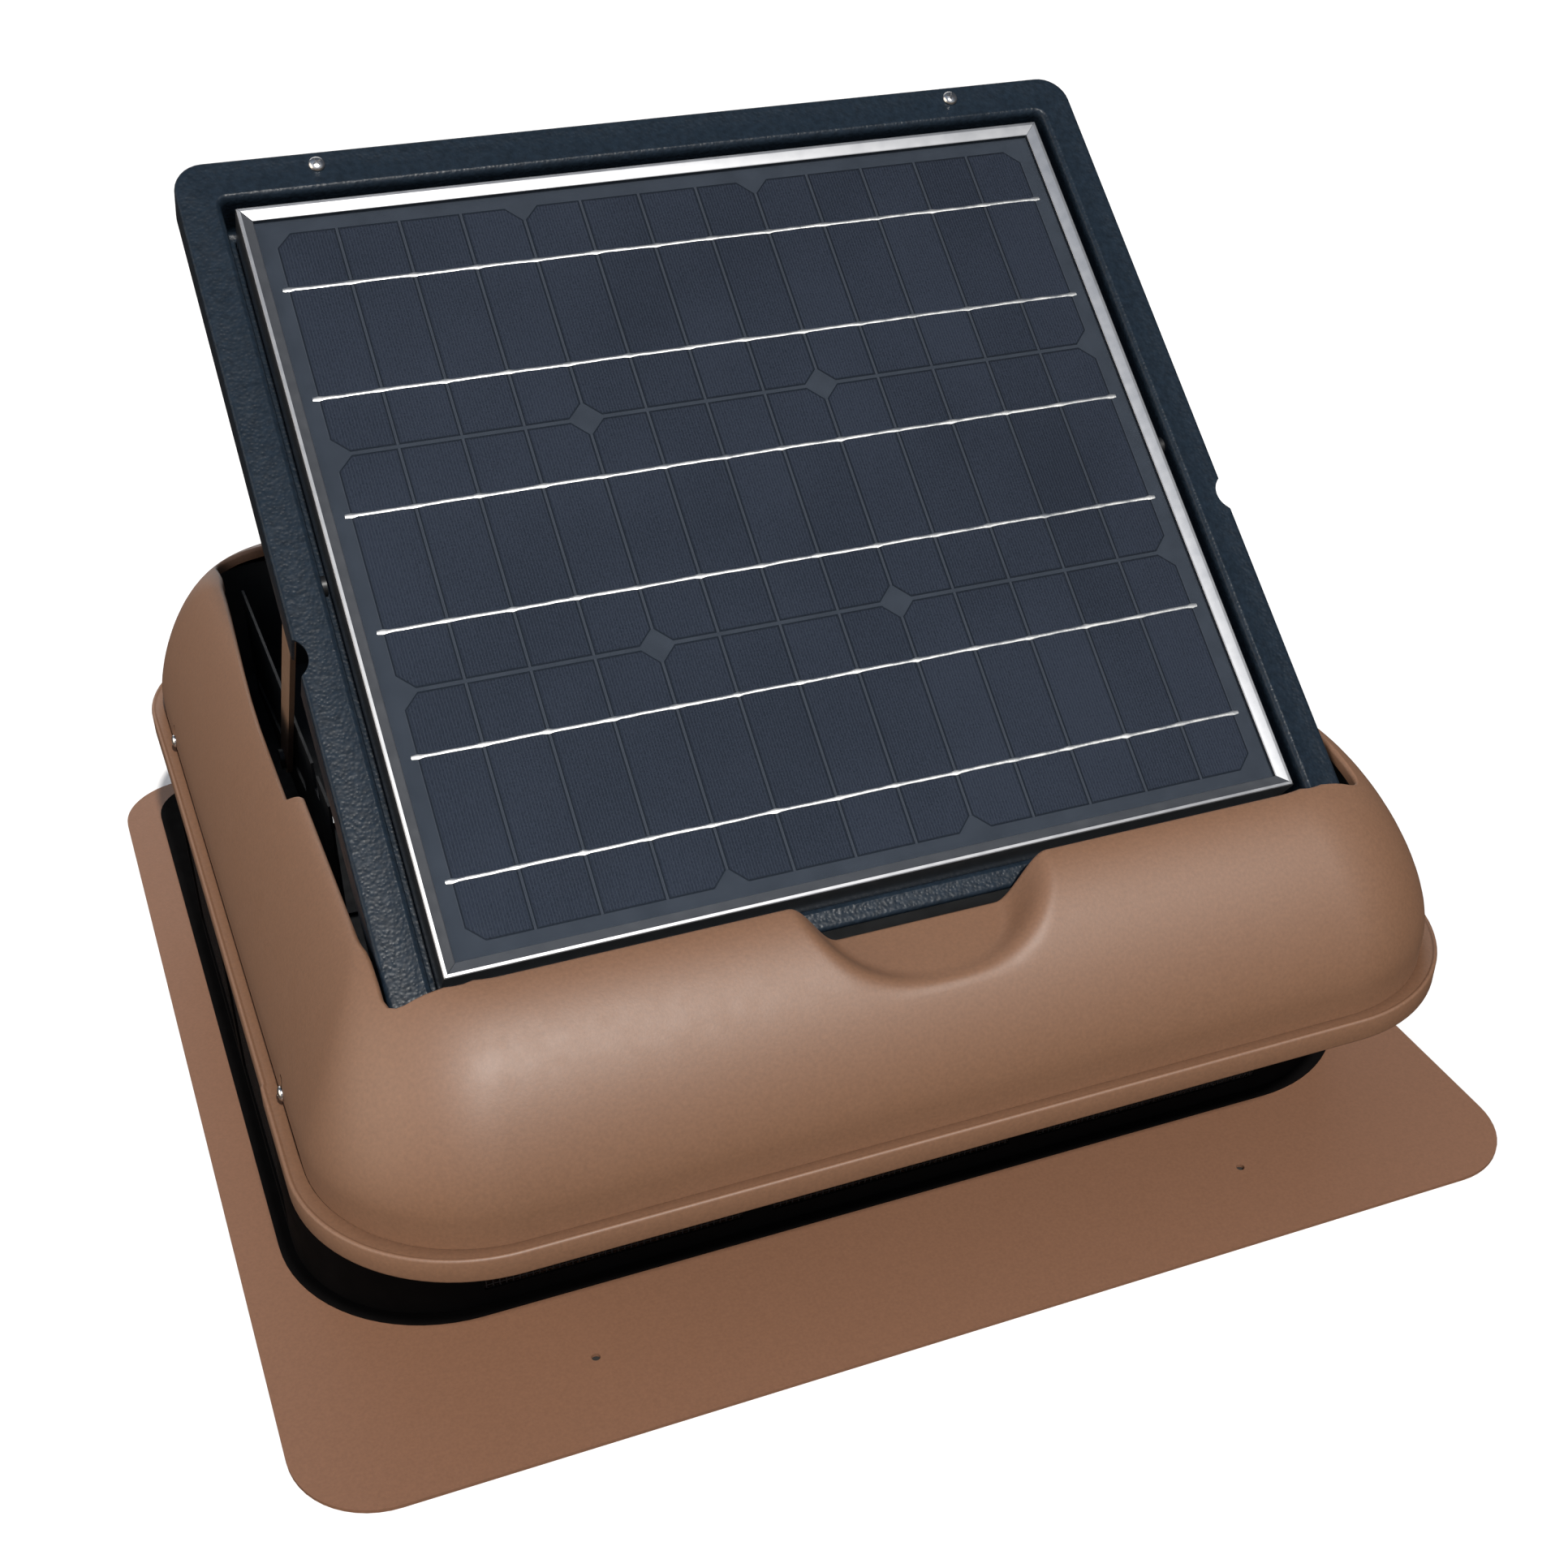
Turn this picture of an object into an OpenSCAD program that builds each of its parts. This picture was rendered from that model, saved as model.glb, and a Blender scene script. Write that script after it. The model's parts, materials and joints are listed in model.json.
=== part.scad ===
// Solar attic fan: a square roof flashing carries a drawn sheet-metal hood on four standoff
// brackets, with an insect screen round the exhaust gap and an axial fan in the roof opening.
// The tray with the solar module lies in a pocket of the hood and tilts up on two front hinges.
// Millimetres, +Z up. Origin: middle of the flashing's underside. The hinge side is at -Y.

/* [Flashing] */
// Side of the square flashing
flashing_w = 660; // [640:10:700]
// Thickness of the flashing sheet
flashing_t = 2; // [1.5:0.5:3]
// Plan radius of the flashing's corners
flashing_r = 44; // [20:2:60]
// Spacing of the nail holes across the flashing
nail_spacing_x = 360; // [300:10:420]
// Spacing of the nail holes up the flashing
nail_spacing_y = 558; // [540:2:600]
// Radius of a nail hole
nail_r = 2.25; // [1.5:0.25:3]

/* [Hood] */
// Width of the rim band round the bottom of the hood
band_w = 605; // [605:1:610]
// Depth of the rim band
band_d = 619; // [616:1:624]
// Plan radius of the rim band's corners
band_r = 87; // [84:1:90]
// Height of the rim band's lower edge above the roof
band_z = 101; // [98:1:104]
// Height of the rim band's skirt
band_h = 13; // [12:1:14]
// Width of the hood above the rim band
hood_w = 588; // [586:1:590]
// Depth of the hood above the rim band
hood_d = 604; // [600:1:606]
// Height of the hood's top rim
hood_top_z = 208; // [207:1:212]
// Half width of the opening for the tray
opening_hw = 250; // [249:0.5:252]
// Half depth of the opening for the tray
opening_hd = 236; // [235:0.5:238]

/* [Tray and solar module] */
// Width of the tray
tray_w = 492.8; // [491:0.2:494]
// Length of the tray from its hinged edge
tray_l = 452; // [450:1:454]
// Angle of the tray above the roof
tilt = 37.7; // [0:0.1:45]
// Width of the solar module
module_w = 440; // [436:1:442]
// Length of the solar module
module_l = 405.6; // [404:0.2:406.4]

/* [Tilt mechanism] */
// Distance from the hinge line to a strut's upper pivot, and from there to the strut's foot
strut_l = 215; // [205:1:217]
// Width of a strut
strut_w = 17; // [12:1:17]
// Fall of the rails' slots towards the back, in degrees
slot_slope = 6.5; // [5:0.1:6.5]

/* [Fan] */
// Inner radius of the throat ring
throat_r = 184; // [180:1:186]
// Radius to the blade tips
blade_tip_r = 176; // [168:1:178]
// Number of fan blades
blade_count = 5; // [3:1:6]
// Pitch of the blades
blade_pitch = 28; // [20:1:30]

/* [Hidden] */

$fn = 96;
eps = 0.5;
tall = 60;
brown = [0.49, 0.36, 0.27];
black = [0.06, 0.06, 0.07];
blue_black = [0.13, 0.16, 0.2];
steel = [0.75, 0.75, 0.77];
copper = [0.72, 0.42, 0.24];

// Sheet levels in the hood's bottom seam, from the top down
sheet_t = 1.2;
seam_gap = 0.5;
ledge_top = band_z + band_h;
ledge_z = ledge_top - sheet_t;
hood_flange_z = ledge_z - sheet_t;
screen_top_z = hood_flange_z - sheet_t;

// Insect screen: its foot spreads outside its walls and reaches back under the roof covering,
// and its top flange reaches the hood's skirt
screen_foot_w = 616;
screen_foot_d = 467;
screen_foot_r = 85;
screen_foot_back = 322;
screen_foot_back_r = 36;
nail_clearance_r = 8;
screen_w = 602;
screen_d = 453;
screen_r = 78;
seam_w = band_w - 2 * sheet_t - 2 * seam_gap;
seam_d = band_d - 2 * sheet_t - 2 * seam_gap;
seam_r = band_r - sheet_t - seam_gap;
window_z = 12;
window_h = 84;
window_x = 152;
window_y = 77;
window_w = 136;
mesh_t = 0.8;
mesh_w = 142;
mesh_h = 90;

// Hood shoulder: steep at the sides, rounder at the front and back
shoulder_z = 127;
rim_land = 2;
side_exponent = 1.27;
front_exponent = 1.6;
hood_r_low = 82;
hood_r_top = 54;
opening_r = 8;
ledge_gap = 1;
lip_inset = 0.5;
shoulder_steps = 12;
corner_steps = 8;
ring_samples = 60;
side_y = [-160, -110, -64, -60, -57, -54, -51, -47, -20, 20, 50, 80, 105, 130, 160];
back_x = [150, 0, -150];
front_x = [-150, -115, -85, -72, -64, -56, -48, -40, -30, -15, 2, 19, 34, 44, 52, 60, 68, 76, 89, 115, 150];

// The opening's sides step outwards by the tray's edges, and its front has a round finger dish
relief_x = 259;
relief_y = [-60, -47, 20, 190];
dish_at = [2, -236];
dish_half = [66, 52];
dish_core = 0.62;
dish_floor_z = 184;
dish_notch = [72, 181.5];

// Standoff brackets and the screws in their slots
bracket_x = hood_w / 2 - sheet_t;
bracket_y = [140, 179];
bracket_t = 2;
bracket_top_z = 125.5;
foot_l = 32;
foot_hole_x = bracket_x - 20;
foot_hole_y = [150, 166];
rivet_r = 2.5;
rivet_head_r = 4.5;
rivet_head_h = 1.2;
hood_screw_y = 174;
hood_screw_z = 121;
hood_screw_r = 2;
hood_screw_head_r = 3.6;
slot_r = 2.8;
slot_z = [120.3, 128.7];

// Pocket under the tray
pocket_hw = 258;
pocket_hd = 241.2;
pocket_r = 35;
pocket_floor_z = 121;
pocket_floor_top = pocket_floor_z + sheet_t;
pocket_wall_top = 196;
pocket_grommet_at = [120, 60];
grommet_bore_r = 5;
grommet_r = 8;
grommet_rim_r = 11;
grommet_rim_h = 2;

// Tray section, in the tray's own frame: x across, y up the slope from the hinged edge,
// z off the tray's top face
recess_hw = 226;
recess_y = [11.8, 429.4];
recess_depth = 27;
recess_r = 4;
skirt_depth = 22;
skirt_start = 16;
front_lip = 3;
tray_r_back = 16;
tray_r_front = 8;
hinge_v = 5.5;
hinge_n = -10.5;
hinge_y = -221.6;
hinge_z = 182.3;
tray_bottom = -recess_depth - sheet_t;
recess_out_x = recess_hw + sheet_t;
recess_out_y = recess_y[0] - sheet_t;
notch_at = [252, 182.5];
notch_r = 11;

// Hinges: two fixed knuckles either side of a moving one
knuckle_r = 4;
pin_r = 1.5;
run_fit = 0.05;
hinge_x = 150;
hinge_half_l = 30;
moving_half_l = 9.7;
fixed_start = 10.2;
leaf_t = 1.5;
leaf_low = 26;
fixed_leaf_h = 36;

// Solar module, in the tray's frame
module_y = (recess_y[0] + recess_y[1]) / 2;
frame_top_n = 0.5;
frame_bottom_n = -recess_depth;
frame_h = frame_top_n - frame_bottom_n;
frame_wall = 2;
rim_w = 7;
rim_t = 2;
bottom_rim_w = 20;
glass_t = 2;
ribbon_t = 0.2;
cell_t = 0.2;
backsheet_t = 0.5;
glass_n = frame_top_n - rim_t - glass_t;
ribbon_n = glass_n - ribbon_t;
cell_n = ribbon_n - cell_t;
backsheet_n = cell_n - backsheet_t;
laminate_gap = 0.3;
strips_across = 13;
strip_pitch = 31.55;
strip_gap = 0.6;
cell_rows = 3;
row_pitch = 126.2;
row_h = 124.2;
wafer_edges = [0, 4, 8, 13];
chamfer = 9.5;
ribbon_w = 2;
ribbon_l = 414.8;
ribbon_spread = 61.7;
jbox = [90, 60, 14];
jbox_y = 350;
tray_grommet_at = [0, 290];
module_screw_at = [209, 120];
tray_screw_at = [175, 444];
bumper_at = [150, 400];
bumper_h = 6;
bumper_r = 9;
rest_gap = 0.2;
rest_w = 30;

// Struts: the hinge line, a pivot and a foot form a triangle with two equal sides, and the feet
// run in slots that point at the hinge line, so a strut always turns twice as far as the tray
strut_x = 240.5;
strut_t = 2.8;
strut_in = strut_x - strut_t / 2;
strut_out = strut_x + strut_t / 2;
bolt_r = 3;
bolt_head_r = 5.5;
bolt_head_h = 2.4;
collar_r = 5;
collar_gap = 0.2;
bolt_nut_t = 2.5;
rail_x = 236;
rail_t = 1.5;
rail_top_z = 190.5;
rail_foot_w = 20;
rail_y = [-45, 216];
bolt_notch = 7;
rail_hole_r = 2.1;
slot_half_h = 3.1;
slot_spare = 1;
nut_r = 6.2;
nut_l = 7;
max_tilt = 45;
pivot_y = hinge_y + strut_l * cos(tilt);
pivot_z = hinge_z + strut_l * sin(tilt);
function foot_run(angle) = 2 * strut_l * cos(angle + slot_slope);
function foot_y(angle) = hinge_y + foot_run(angle) * cos(slot_slope);
function foot_z(angle) = hinge_z - foot_run(angle) * sin(slot_slope);

// Fan and motor
ring_t = 1.5;
ring_top_z = 74;
ring_flange_r = throat_r + 22;
ring_rivet_r = throat_r + 13;
motor_r = 46;
motor_wall = 2.5;
motor_z = 5;
cap_top_z = 12;
motor_top_z = 38;
motor_top_t = 5;
bearing_r = 11;
bearing_h = 5;
shaft_r = 4;
spider_t = 3;
spider_r = 42;
spider_hole_r = 8;
arm_w = 22;
tab_h = 22;
tab_t = 2;
spider_bolt_z = motor_top_z + 13;
spider_bolt_r = 2.5;
motor_screw_at = 30;
motor_screw_r = 2;
stator_z = 14;
stator_h = 17;
stator_in_r = 24;
magnet_r = 22;
hub_r = 45;
hub_z = 46;
hub_h = 24;
hub_wall = 3;
boss_r = 10;
collar_t = 2;
collar_h = 18;
hub_fit = 0.2;
root_gap = 0.6;
hub_lip_h = 3.5;
blade_mid_z = 58.5;
blade_chord = 56;
blade_t = 1.6;
blade_arc_r = 110;
switch_size = [40, 30, 20];
switch_x = 245;

// ---------- shared shapes ----------

module rounded(w, d, r) {
    square([w - 2 * r, d], center = true);
    square([w, d - 2 * r], center = true);
    for (x = [-1, 1], y = [-1, 1])
        translate([x * (w / 2 - r), y * (d / 2 - r)]) circle(r);
}

module ring_shape(w, d, r, t) {
    difference() {
        rounded(w, d, r);
        rounded(w - 2 * t, d - 2 * t, r - t);
    }
}

module slab(z, h) {
    translate([0, 0, z]) linear_extrude(h) children();
}

module both_sides() {
    children();
    mirror([1, 0, 0]) children();
}

module four_corners() {
    both_sides() {
        children();
        mirror([0, 1, 0]) children();
    }
}

// A cylinder along X from x0 to x1
module rod_x(x0, x1, y, z, r) {
    translate([x0, y, z]) rotate([0, 90, 0]) cylinder(r = r, h = x1 - x0);
}

module box_between(a, b) {
    translate(a) cube(b - a);
}

// Places children drawn in the tray's frame
module on_tray() {
    translate([0, hinge_y, hinge_z]) rotate([tilt, 0, 0]) translate([0, -hinge_v, -hinge_n]) children();
}

module grommet(bore_r, waist_r, rim_r, rim_h, plate_t) {
    difference() {
        union() {
            translate([0, 0, -rim_h]) cylinder(r = rim_r, h = rim_h);
            cylinder(r = waist_r, h = plate_t);
            translate([0, 0, plate_t]) cylinder(r = rim_r, h = rim_h);
        }
        translate([0, 0, -rim_h - eps]) cylinder(r = bore_r, h = 2 * rim_h + plate_t + 2 * eps);
    }
}

// ---------- roof flashing, throat ring and insect screen ----------

module flashing() {
    color(brown) linear_extrude(flashing_t) difference() {
        rounded(flashing_w, flashing_w, flashing_r);
        circle(throat_r);
        for (x = [-1, 1], y = [-1, 1]) {
            translate([x * nail_spacing_x / 2, y * nail_spacing_y / 2]) circle(nail_r);
            for (foot_y = foot_hole_y)
                translate([x * foot_hole_x, y * foot_y]) circle(rivet_r);
        }
        for (a = [0:45:315])
            rotate(a) translate([ring_rivet_r, 0]) circle(rivet_r);
    }
}

module throat_ring() {
    color(black) difference() {
        union() {
            slab(flashing_t, ring_top_z - flashing_t) circle(throat_r + ring_t);
            slab(flashing_t, ring_t) circle(ring_flange_r);
        }
        translate([0, 0, -eps]) cylinder(r = throat_r, h = ring_top_z + 2 * eps);
        for (a = [0:45:315])
            rotate([0, 0, a]) translate([ring_rivet_r, 0, 0]) cylinder(r = rivet_r, h = tall);
        for (a = [45:90:315])
            rotate([0, 0, a]) rod_x(throat_r - eps, throat_r + tall, 0, spider_bolt_z, spider_bolt_r);
    }
}

module throat_rivets() {
    color(steel) for (a = [0:45:315])
        rotate([0, 0, a]) translate([ring_rivet_r, 0, 0]) {
            cylinder(r = rivet_r, h = flashing_t + ring_t);
            translate([0, 0, flashing_t + ring_t]) cylinder(r = rivet_head_r, h = rivet_head_h);
        }
}

module screen_foot() {
    back_x = screen_foot_w / 2 - screen_foot_back_r;
    rounded(screen_foot_w, screen_foot_d, screen_foot_r);
    translate([-screen_foot_w / 2, 0]) square([screen_foot_w, screen_foot_back - screen_foot_back_r]);
    translate([-back_x, 0]) square([2 * back_x, screen_foot_back]);
    for (x = [-back_x, back_x])
        translate([x, screen_foot_back - screen_foot_back_r]) circle(screen_foot_back_r);
}

module screen_frame() {
    color(black) {
        slab(flashing_t, sheet_t) difference() {
            screen_foot();
            rounded(screen_w - 2 * sheet_t, screen_d - 2 * sheet_t, screen_r - sheet_t);
            for (x = [-1, 1])
                translate([x * nail_spacing_x / 2, nail_spacing_y / 2]) circle(nail_clearance_r);
        }
        slab(screen_top_z, sheet_t) difference() {
            rounded(seam_w, seam_d, seam_r);
            rounded(screen_w - 2 * sheet_t, screen_d - 2 * sheet_t, screen_r - sheet_t);
        }
        difference() {
            slab(flashing_t, hood_flange_z - flashing_t) ring_shape(screen_w, screen_d, screen_r, sheet_t);
            for (x = [-1, 0, 1])
                translate([x * window_x, 0, window_z + window_h / 2])
                    cube([window_w, screen_d + tall, window_h], center = true);
            for (y = [-1, 1])
                translate([0, y * window_y, window_z + window_h / 2])
                    cube([screen_w + tall, window_w, window_h], center = true);
        }
    }
}

// Mesh panels on the inside of the frame's windows
module screen_mesh() {
    mesh_y = (screen_d - mesh_t) / 2 - sheet_t;
    mesh_x = (screen_w - mesh_t) / 2 - sheet_t;
    color(black) {
        for (x = [-1, 0, 1], y = [-1, 1])
            translate([x * window_x, y * mesh_y, window_z + window_h / 2])
                cube([mesh_w, mesh_t, mesh_h], center = true);
        for (x = [-1, 1], y = [-1, 1])
            translate([x * mesh_x, y * window_y, window_z + window_h / 2])
                cube([mesh_t, mesh_w, mesh_h], center = true);
    }
}

// ---------- hood ----------

module standoff_brackets() {
    color(steel) four_corners() difference() {
        union() {
            box_between([bracket_x - bracket_t, bracket_y[0], flashing_t],
                        [bracket_x, bracket_y[1], bracket_top_z]);
            box_between([bracket_x - foot_l, bracket_y[0], flashing_t],
                        [bracket_x, bracket_y[1], flashing_t + bracket_t]);
        }
        rod_x(bracket_x - foot_l, bracket_x + eps, hood_screw_y, hood_screw_z, hood_screw_r);
        for (y = foot_hole_y)
            translate([foot_hole_x, y, 0]) cylinder(r = rivet_r, h = tall);
    }
}

module bracket_rivets() {
    color(steel) four_corners() for (y = foot_hole_y)
        translate([foot_hole_x, y, 0]) {
            cylinder(r = rivet_r, h = flashing_t + bracket_t);
            translate([0, 0, flashing_t + bracket_t]) cylinder(r = rivet_head_r, h = rivet_head_h);
        }
}

// Half size of the hood at a height: u runs from 0 at the shoulder's foot to 1 at the rim
function shoulder(low, high, u, n) = high + (low - high) * pow(max(0, 1 - pow(u, n)), 1 / n);

function half_x(u) = shoulder(hood_w / 2, opening_hw + rim_land, u, side_exponent);
function half_y(u) = shoulder(hood_d / 2, opening_hd + rim_land, u, front_exponent);
function corner_r(u) = hood_r_low + (hood_r_top - hood_r_low) * u;
function smooth(a, b, t) = let(k = min(1, max(0, (t - a) / (b - a)))) k * k * (3 - 2 * k);

// Stations round the hood, anticlockwise: points on the straight sides and steps of the corners
function corner_stations(x, y, start) =
    [for (i = [0:corner_steps]) ["corner", x, y, start + 90 * i / corner_steps]];
hood_stations = concat(
    [for (y = side_y) ["side", 1, y]],
    corner_stations(1, 1, 0),
    [for (x = back_x) ["end", x, 1]],
    corner_stations(-1, 1, 90),
    [for (i = [len(side_y) - 1:-1:0]) ["side", -1, side_y[i]]],
    corner_stations(-1, -1, 180),
    [for (x = front_x) ["end", x, -1]],
    corner_stations(1, -1, 270)
);

function outline_point(s, x, y, r, inset) =
    s[0] == "side" ? [s[1] * (x - inset), s[2]] :
    s[0] == "end" ? [s[1], s[2] * (y - inset)] :
    [s[1] * (x - r) + (r - inset) * cos(s[3]), s[2] * (y - r) + (r - inset) * sin(s[3])];
function ring_point(s, u, inset) = outline_point(s, half_x(u), half_y(u), corner_r(u), inset);
function seam_point(s) = outline_point(s, seam_w / 2, seam_d / 2, seam_r, 0);

// Nearest point of the opening's core, and how far a point lies outside the opening
function core_point(p) =
    [sign(p[0]) * min(abs(p[0]), opening_hw - opening_r),
     sign(p[1]) * min(abs(p[1]), opening_hd - opening_r)];
function outside_by(p) = norm(p - core_point(p)) - opening_r;
function first_inside(s, i) =
    i > ring_samples || outside_by(ring_point(s, i / ring_samples, 0)) < 0 ? i : first_inside(s, i + 1);

// Share of the way up at which a station's column ends: at the opening or at the side relief
relief_top = pow(1 - pow((relief_x - opening_hw - rim_land) / (hood_w / 2 - opening_hw - rim_land),
                         side_exponent), 1 / side_exponent);
function relief(y) =
    smooth(relief_y[0], relief_y[1], y) * (1 - smooth(relief_y[2], relief_y[3], y));
function column_top(s) =
    s[0] == "side" ? 1 - relief(s[2]) * (1 - relief_top) :
    let(i = first_inside(s, 0))
    i > ring_samples ? 1 :
    let(before = outside_by(ring_point(s, (i - 1) / ring_samples, 0)),
        after = outside_by(ring_point(s, i / ring_samples, 0)))
    (i - 1 + before / (before - after)) / ring_samples;

// Inner edge of the rim: the opening's outline, or a step in from the relief
function lip_point(s, p) =
    s[0] == "side" ? p - [s[1] * (lip_inset + rim_land * (1 - relief(s[2]))), 0] :
    core_point(p) + (p - core_point(p)) * (opening_r - lip_inset) / norm(p - core_point(p));

function dished(p, z) =
    let(q = norm([(p[0] - dish_at[0]) / dish_half[0], (p[1] - dish_at[1]) / dish_half[1]]))
    z + min(0, dish_floor_z - z) * (1 - smooth(dish_core, 1, q));
function hood_z(p, u) = dished(p, shoulder_z + (hood_top_z - shoulder_z) * u);
function at_height(p, z) = [p[0], p[1], z];

// One column of the sheet: up its outside, over the rim and down its inside
function hood_column(s) =
    let(top = column_top(s), rim = ring_point(s, top, 0), rim_z = hood_z(rim, top))
    concat(
        [at_height(seam_point(s), hood_flange_z),
         at_height(seam_point(s), ledge_z),
         at_height(ring_point(s, 0, 0), ledge_z)],
        [for (i = [0:shoulder_steps])
            let(u = top * sin(90 * i / shoulder_steps), p = ring_point(s, u, 0))
            at_height(p, hood_z(p, u))],
        [at_height(lip_point(s, rim), rim_z),
         at_height(lip_point(s, rim), rim_z - sheet_t)],
        [for (i = [shoulder_steps:-1:0])
            let(share = sin(90 * i / shoulder_steps), u = top * share)
            at_height(ring_point(s, u, sheet_t * (1 - share)),
                      hood_z(ring_point(s, u, 0), u) - sheet_t)],
        [at_height(ring_point(s, 0, sheet_t), hood_flange_z)]
    );

// The drawn sheet, closed round its stations and round its thickness
module hood_sheet() {
    rows = 2 * shoulder_steps + 8;
    count = len(hood_stations);
    polyhedron(
        points = [for (s = hood_stations) each hood_column(s)],
        faces = [for (c = [0:count - 1], r = [0:rows - 1])
            let(next_c = (c + 1) % count, next_r = (r + 1) % rows)
            each [[c * rows + r, next_c * rows + next_r, next_c * rows + r],
                  [c * rows + r, c * rows + next_r, next_c * rows + next_r]]]
    );
}

module hood_shell() {
    color(brown) difference() {
        hood_sheet();
        four_corners() {
            for (z = slot_z)
                rod_x(bracket_x - slot_r, bracket_x + tall, hood_screw_y, z, slot_r);
            box_between([bracket_x - slot_r, hood_screw_y - slot_r, slot_z[0]],
                        [bracket_x + tall, hood_screw_y + slot_r, slot_z[1]]);
        }
    }
}

module rim_band() {
    color(brown) {
        slab(band_z, band_h) ring_shape(band_w, band_d, band_r, sheet_t);
        slab(ledge_z, sheet_t) difference() {
            rounded(band_w, band_d, band_r);
            rounded(hood_w + 2 * ledge_gap, hood_d + 2 * ledge_gap, hood_r_low + ledge_gap);
        }
    }
}

module hood_screws() {
    color(steel) four_corners() {
        rod_x(hood_w / 2, hood_w / 2 + bolt_head_h, hood_screw_y, hood_screw_z, hood_screw_head_r);
        rod_x(bracket_x - bracket_t - 2 * bolt_head_h, hood_w / 2, hood_screw_y, hood_screw_z, hood_screw_r);
        difference() {
            rod_x(bracket_x - bracket_t - bolt_head_h, bracket_x - bracket_t,
                  hood_screw_y, hood_screw_z, hood_screw_head_r, $fn = 6);
            rod_x(bracket_x - foot_l, bracket_x, hood_screw_y, hood_screw_z, hood_screw_r);
        }
    }
}

// ---------- pocket and what is fixed in it ----------

module pocket_liner() {
    color(black) difference() {
        union() {
            slab(pocket_floor_z, sheet_t) rounded(2 * pocket_hw, 2 * pocket_hd, pocket_r);
            slab(pocket_floor_z, pocket_wall_top - pocket_floor_z)
                ring_shape(2 * pocket_hw, 2 * pocket_hd, pocket_r, sheet_t);
        }
        box_between([-dish_notch[0], -pocket_hd - eps, dish_notch[1]],
                    [dish_notch[0], eps - pocket_hd + sheet_t, pocket_wall_top + eps]);
        translate([pocket_grommet_at[0], pocket_grommet_at[1], pocket_floor_z - eps])
            cylinder(r = grommet_r, h = tall);
    }
}

module pocket_grommet() {
    color(black) translate([pocket_grommet_at[0], pocket_grommet_at[1], pocket_floor_z])
        grommet(grommet_bore_r, grommet_r, grommet_rim_r, grommet_rim_h, sheet_t);
}

// A slot for the feet from steepest tray to flat tray, on a line through the hinge axis
module foot_slot(x0, x1) {
    near = foot_run(max_tilt) - slot_spare;
    far = foot_run(0) + slot_spare;
    translate([0, hinge_y, hinge_z]) rotate([-slot_slope, 0, 0]) {
        box_between([x0, near, -slot_half_h], [x1, far, slot_half_h]);
        rod_x(x0, x1, near, 0, slot_half_h);
        rod_x(x0, x1, far, 0, slot_half_h);
    }
}

module tilt_rails() {
    color(black) both_sides() difference() {
        union() {
            box_between([rail_x, rail_y[0], pocket_floor_top], [rail_x + rail_t, rail_y[1], rail_top_z]);
            box_between([rail_x - rail_foot_w, rail_y[0], pocket_floor_top],
                        [rail_x, rail_y[1], pocket_floor_top + rail_t]);
        }
        foot_slot(rail_x - eps, rail_x + rail_t + eps);
        box_between([rail_x - eps, hinge_y + strut_l - bolt_notch, hinge_z - bolt_notch],
                    [rail_x + rail_t + eps, hinge_y + strut_l + bolt_notch, rail_top_z + eps]);
        for (y = [foot_y(max_tilt), foot_y(0)])
            translate([rail_x - rail_foot_w / 2, y, pocket_floor_z])
                cylinder(r = rail_hole_r, h = rail_foot_w);
    }
}

module rail_screws() {
    color(steel) both_sides() for (y = [foot_y(max_tilt), foot_y(0)])
        translate([rail_x - rail_foot_w / 2, y, pocket_floor_top]) {
            cylinder(r = rail_hole_r - run_fit, h = rail_t);
            translate([0, 0, rail_t]) cylinder(r = hood_screw_head_r, h = bolt_head_h);
        }
}

module hinge_fixed_leaves() {
    wall_y = sheet_t - pocket_hd;
    plate_z = hinge_z - knuckle_r + eps;
    color(steel) for (x = [-hinge_x, hinge_x])
        translate([x, 0, 0]) difference() {
            union() {
                box_between([-hinge_half_l, wall_y, plate_z - fixed_leaf_h],
                            [hinge_half_l, wall_y + leaf_t, plate_z + leaf_t]);
                box_between([-hinge_half_l, wall_y, plate_z], [hinge_half_l, hinge_y, plate_z + leaf_t]);
                rod_x(-hinge_half_l, hinge_half_l, hinge_y, hinge_z, knuckle_r);
            }
            box_between([-fixed_start, hinge_y - knuckle_r - eps, hinge_z - 2 * knuckle_r],
                        [fixed_start, hinge_y + 2 * knuckle_r, hinge_z + 2 * knuckle_r]);
            rod_x(-hinge_half_l - eps, hinge_half_l + eps, hinge_y, hinge_z, pin_r);
        }
}

module hinge_pins() {
    color(steel) for (x = [-hinge_x, hinge_x])
        rod_x(x - hinge_half_l, x + hinge_half_l, hinge_y, hinge_z, pin_r);
}

// Stands that meet the tray's rubber bumpers when it is folded down
module bumper_rests() {
    rest_y = hinge_y - hinge_v + bumper_at[1];
    rest_top = hinge_z - hinge_n + tray_bottom - bumper_h - rest_gap;
    color(steel) for (x = [-bumper_at[0], bumper_at[0]])
        translate([x, rest_y, 0]) {
            box_between([-rest_w / 2, -rest_w / 2, rest_top - rail_t], [rest_w / 2, rest_w / 2, rest_top]);
            for (side = [-1, 1])
                translate([side * (rest_w - rail_t) / 2, 0, (pocket_floor_top + rest_top) / 2])
                    cube([rail_t, rest_w, rest_top - pocket_floor_top], center = true);
        }
}

// ---------- motor and fan ----------

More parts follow.
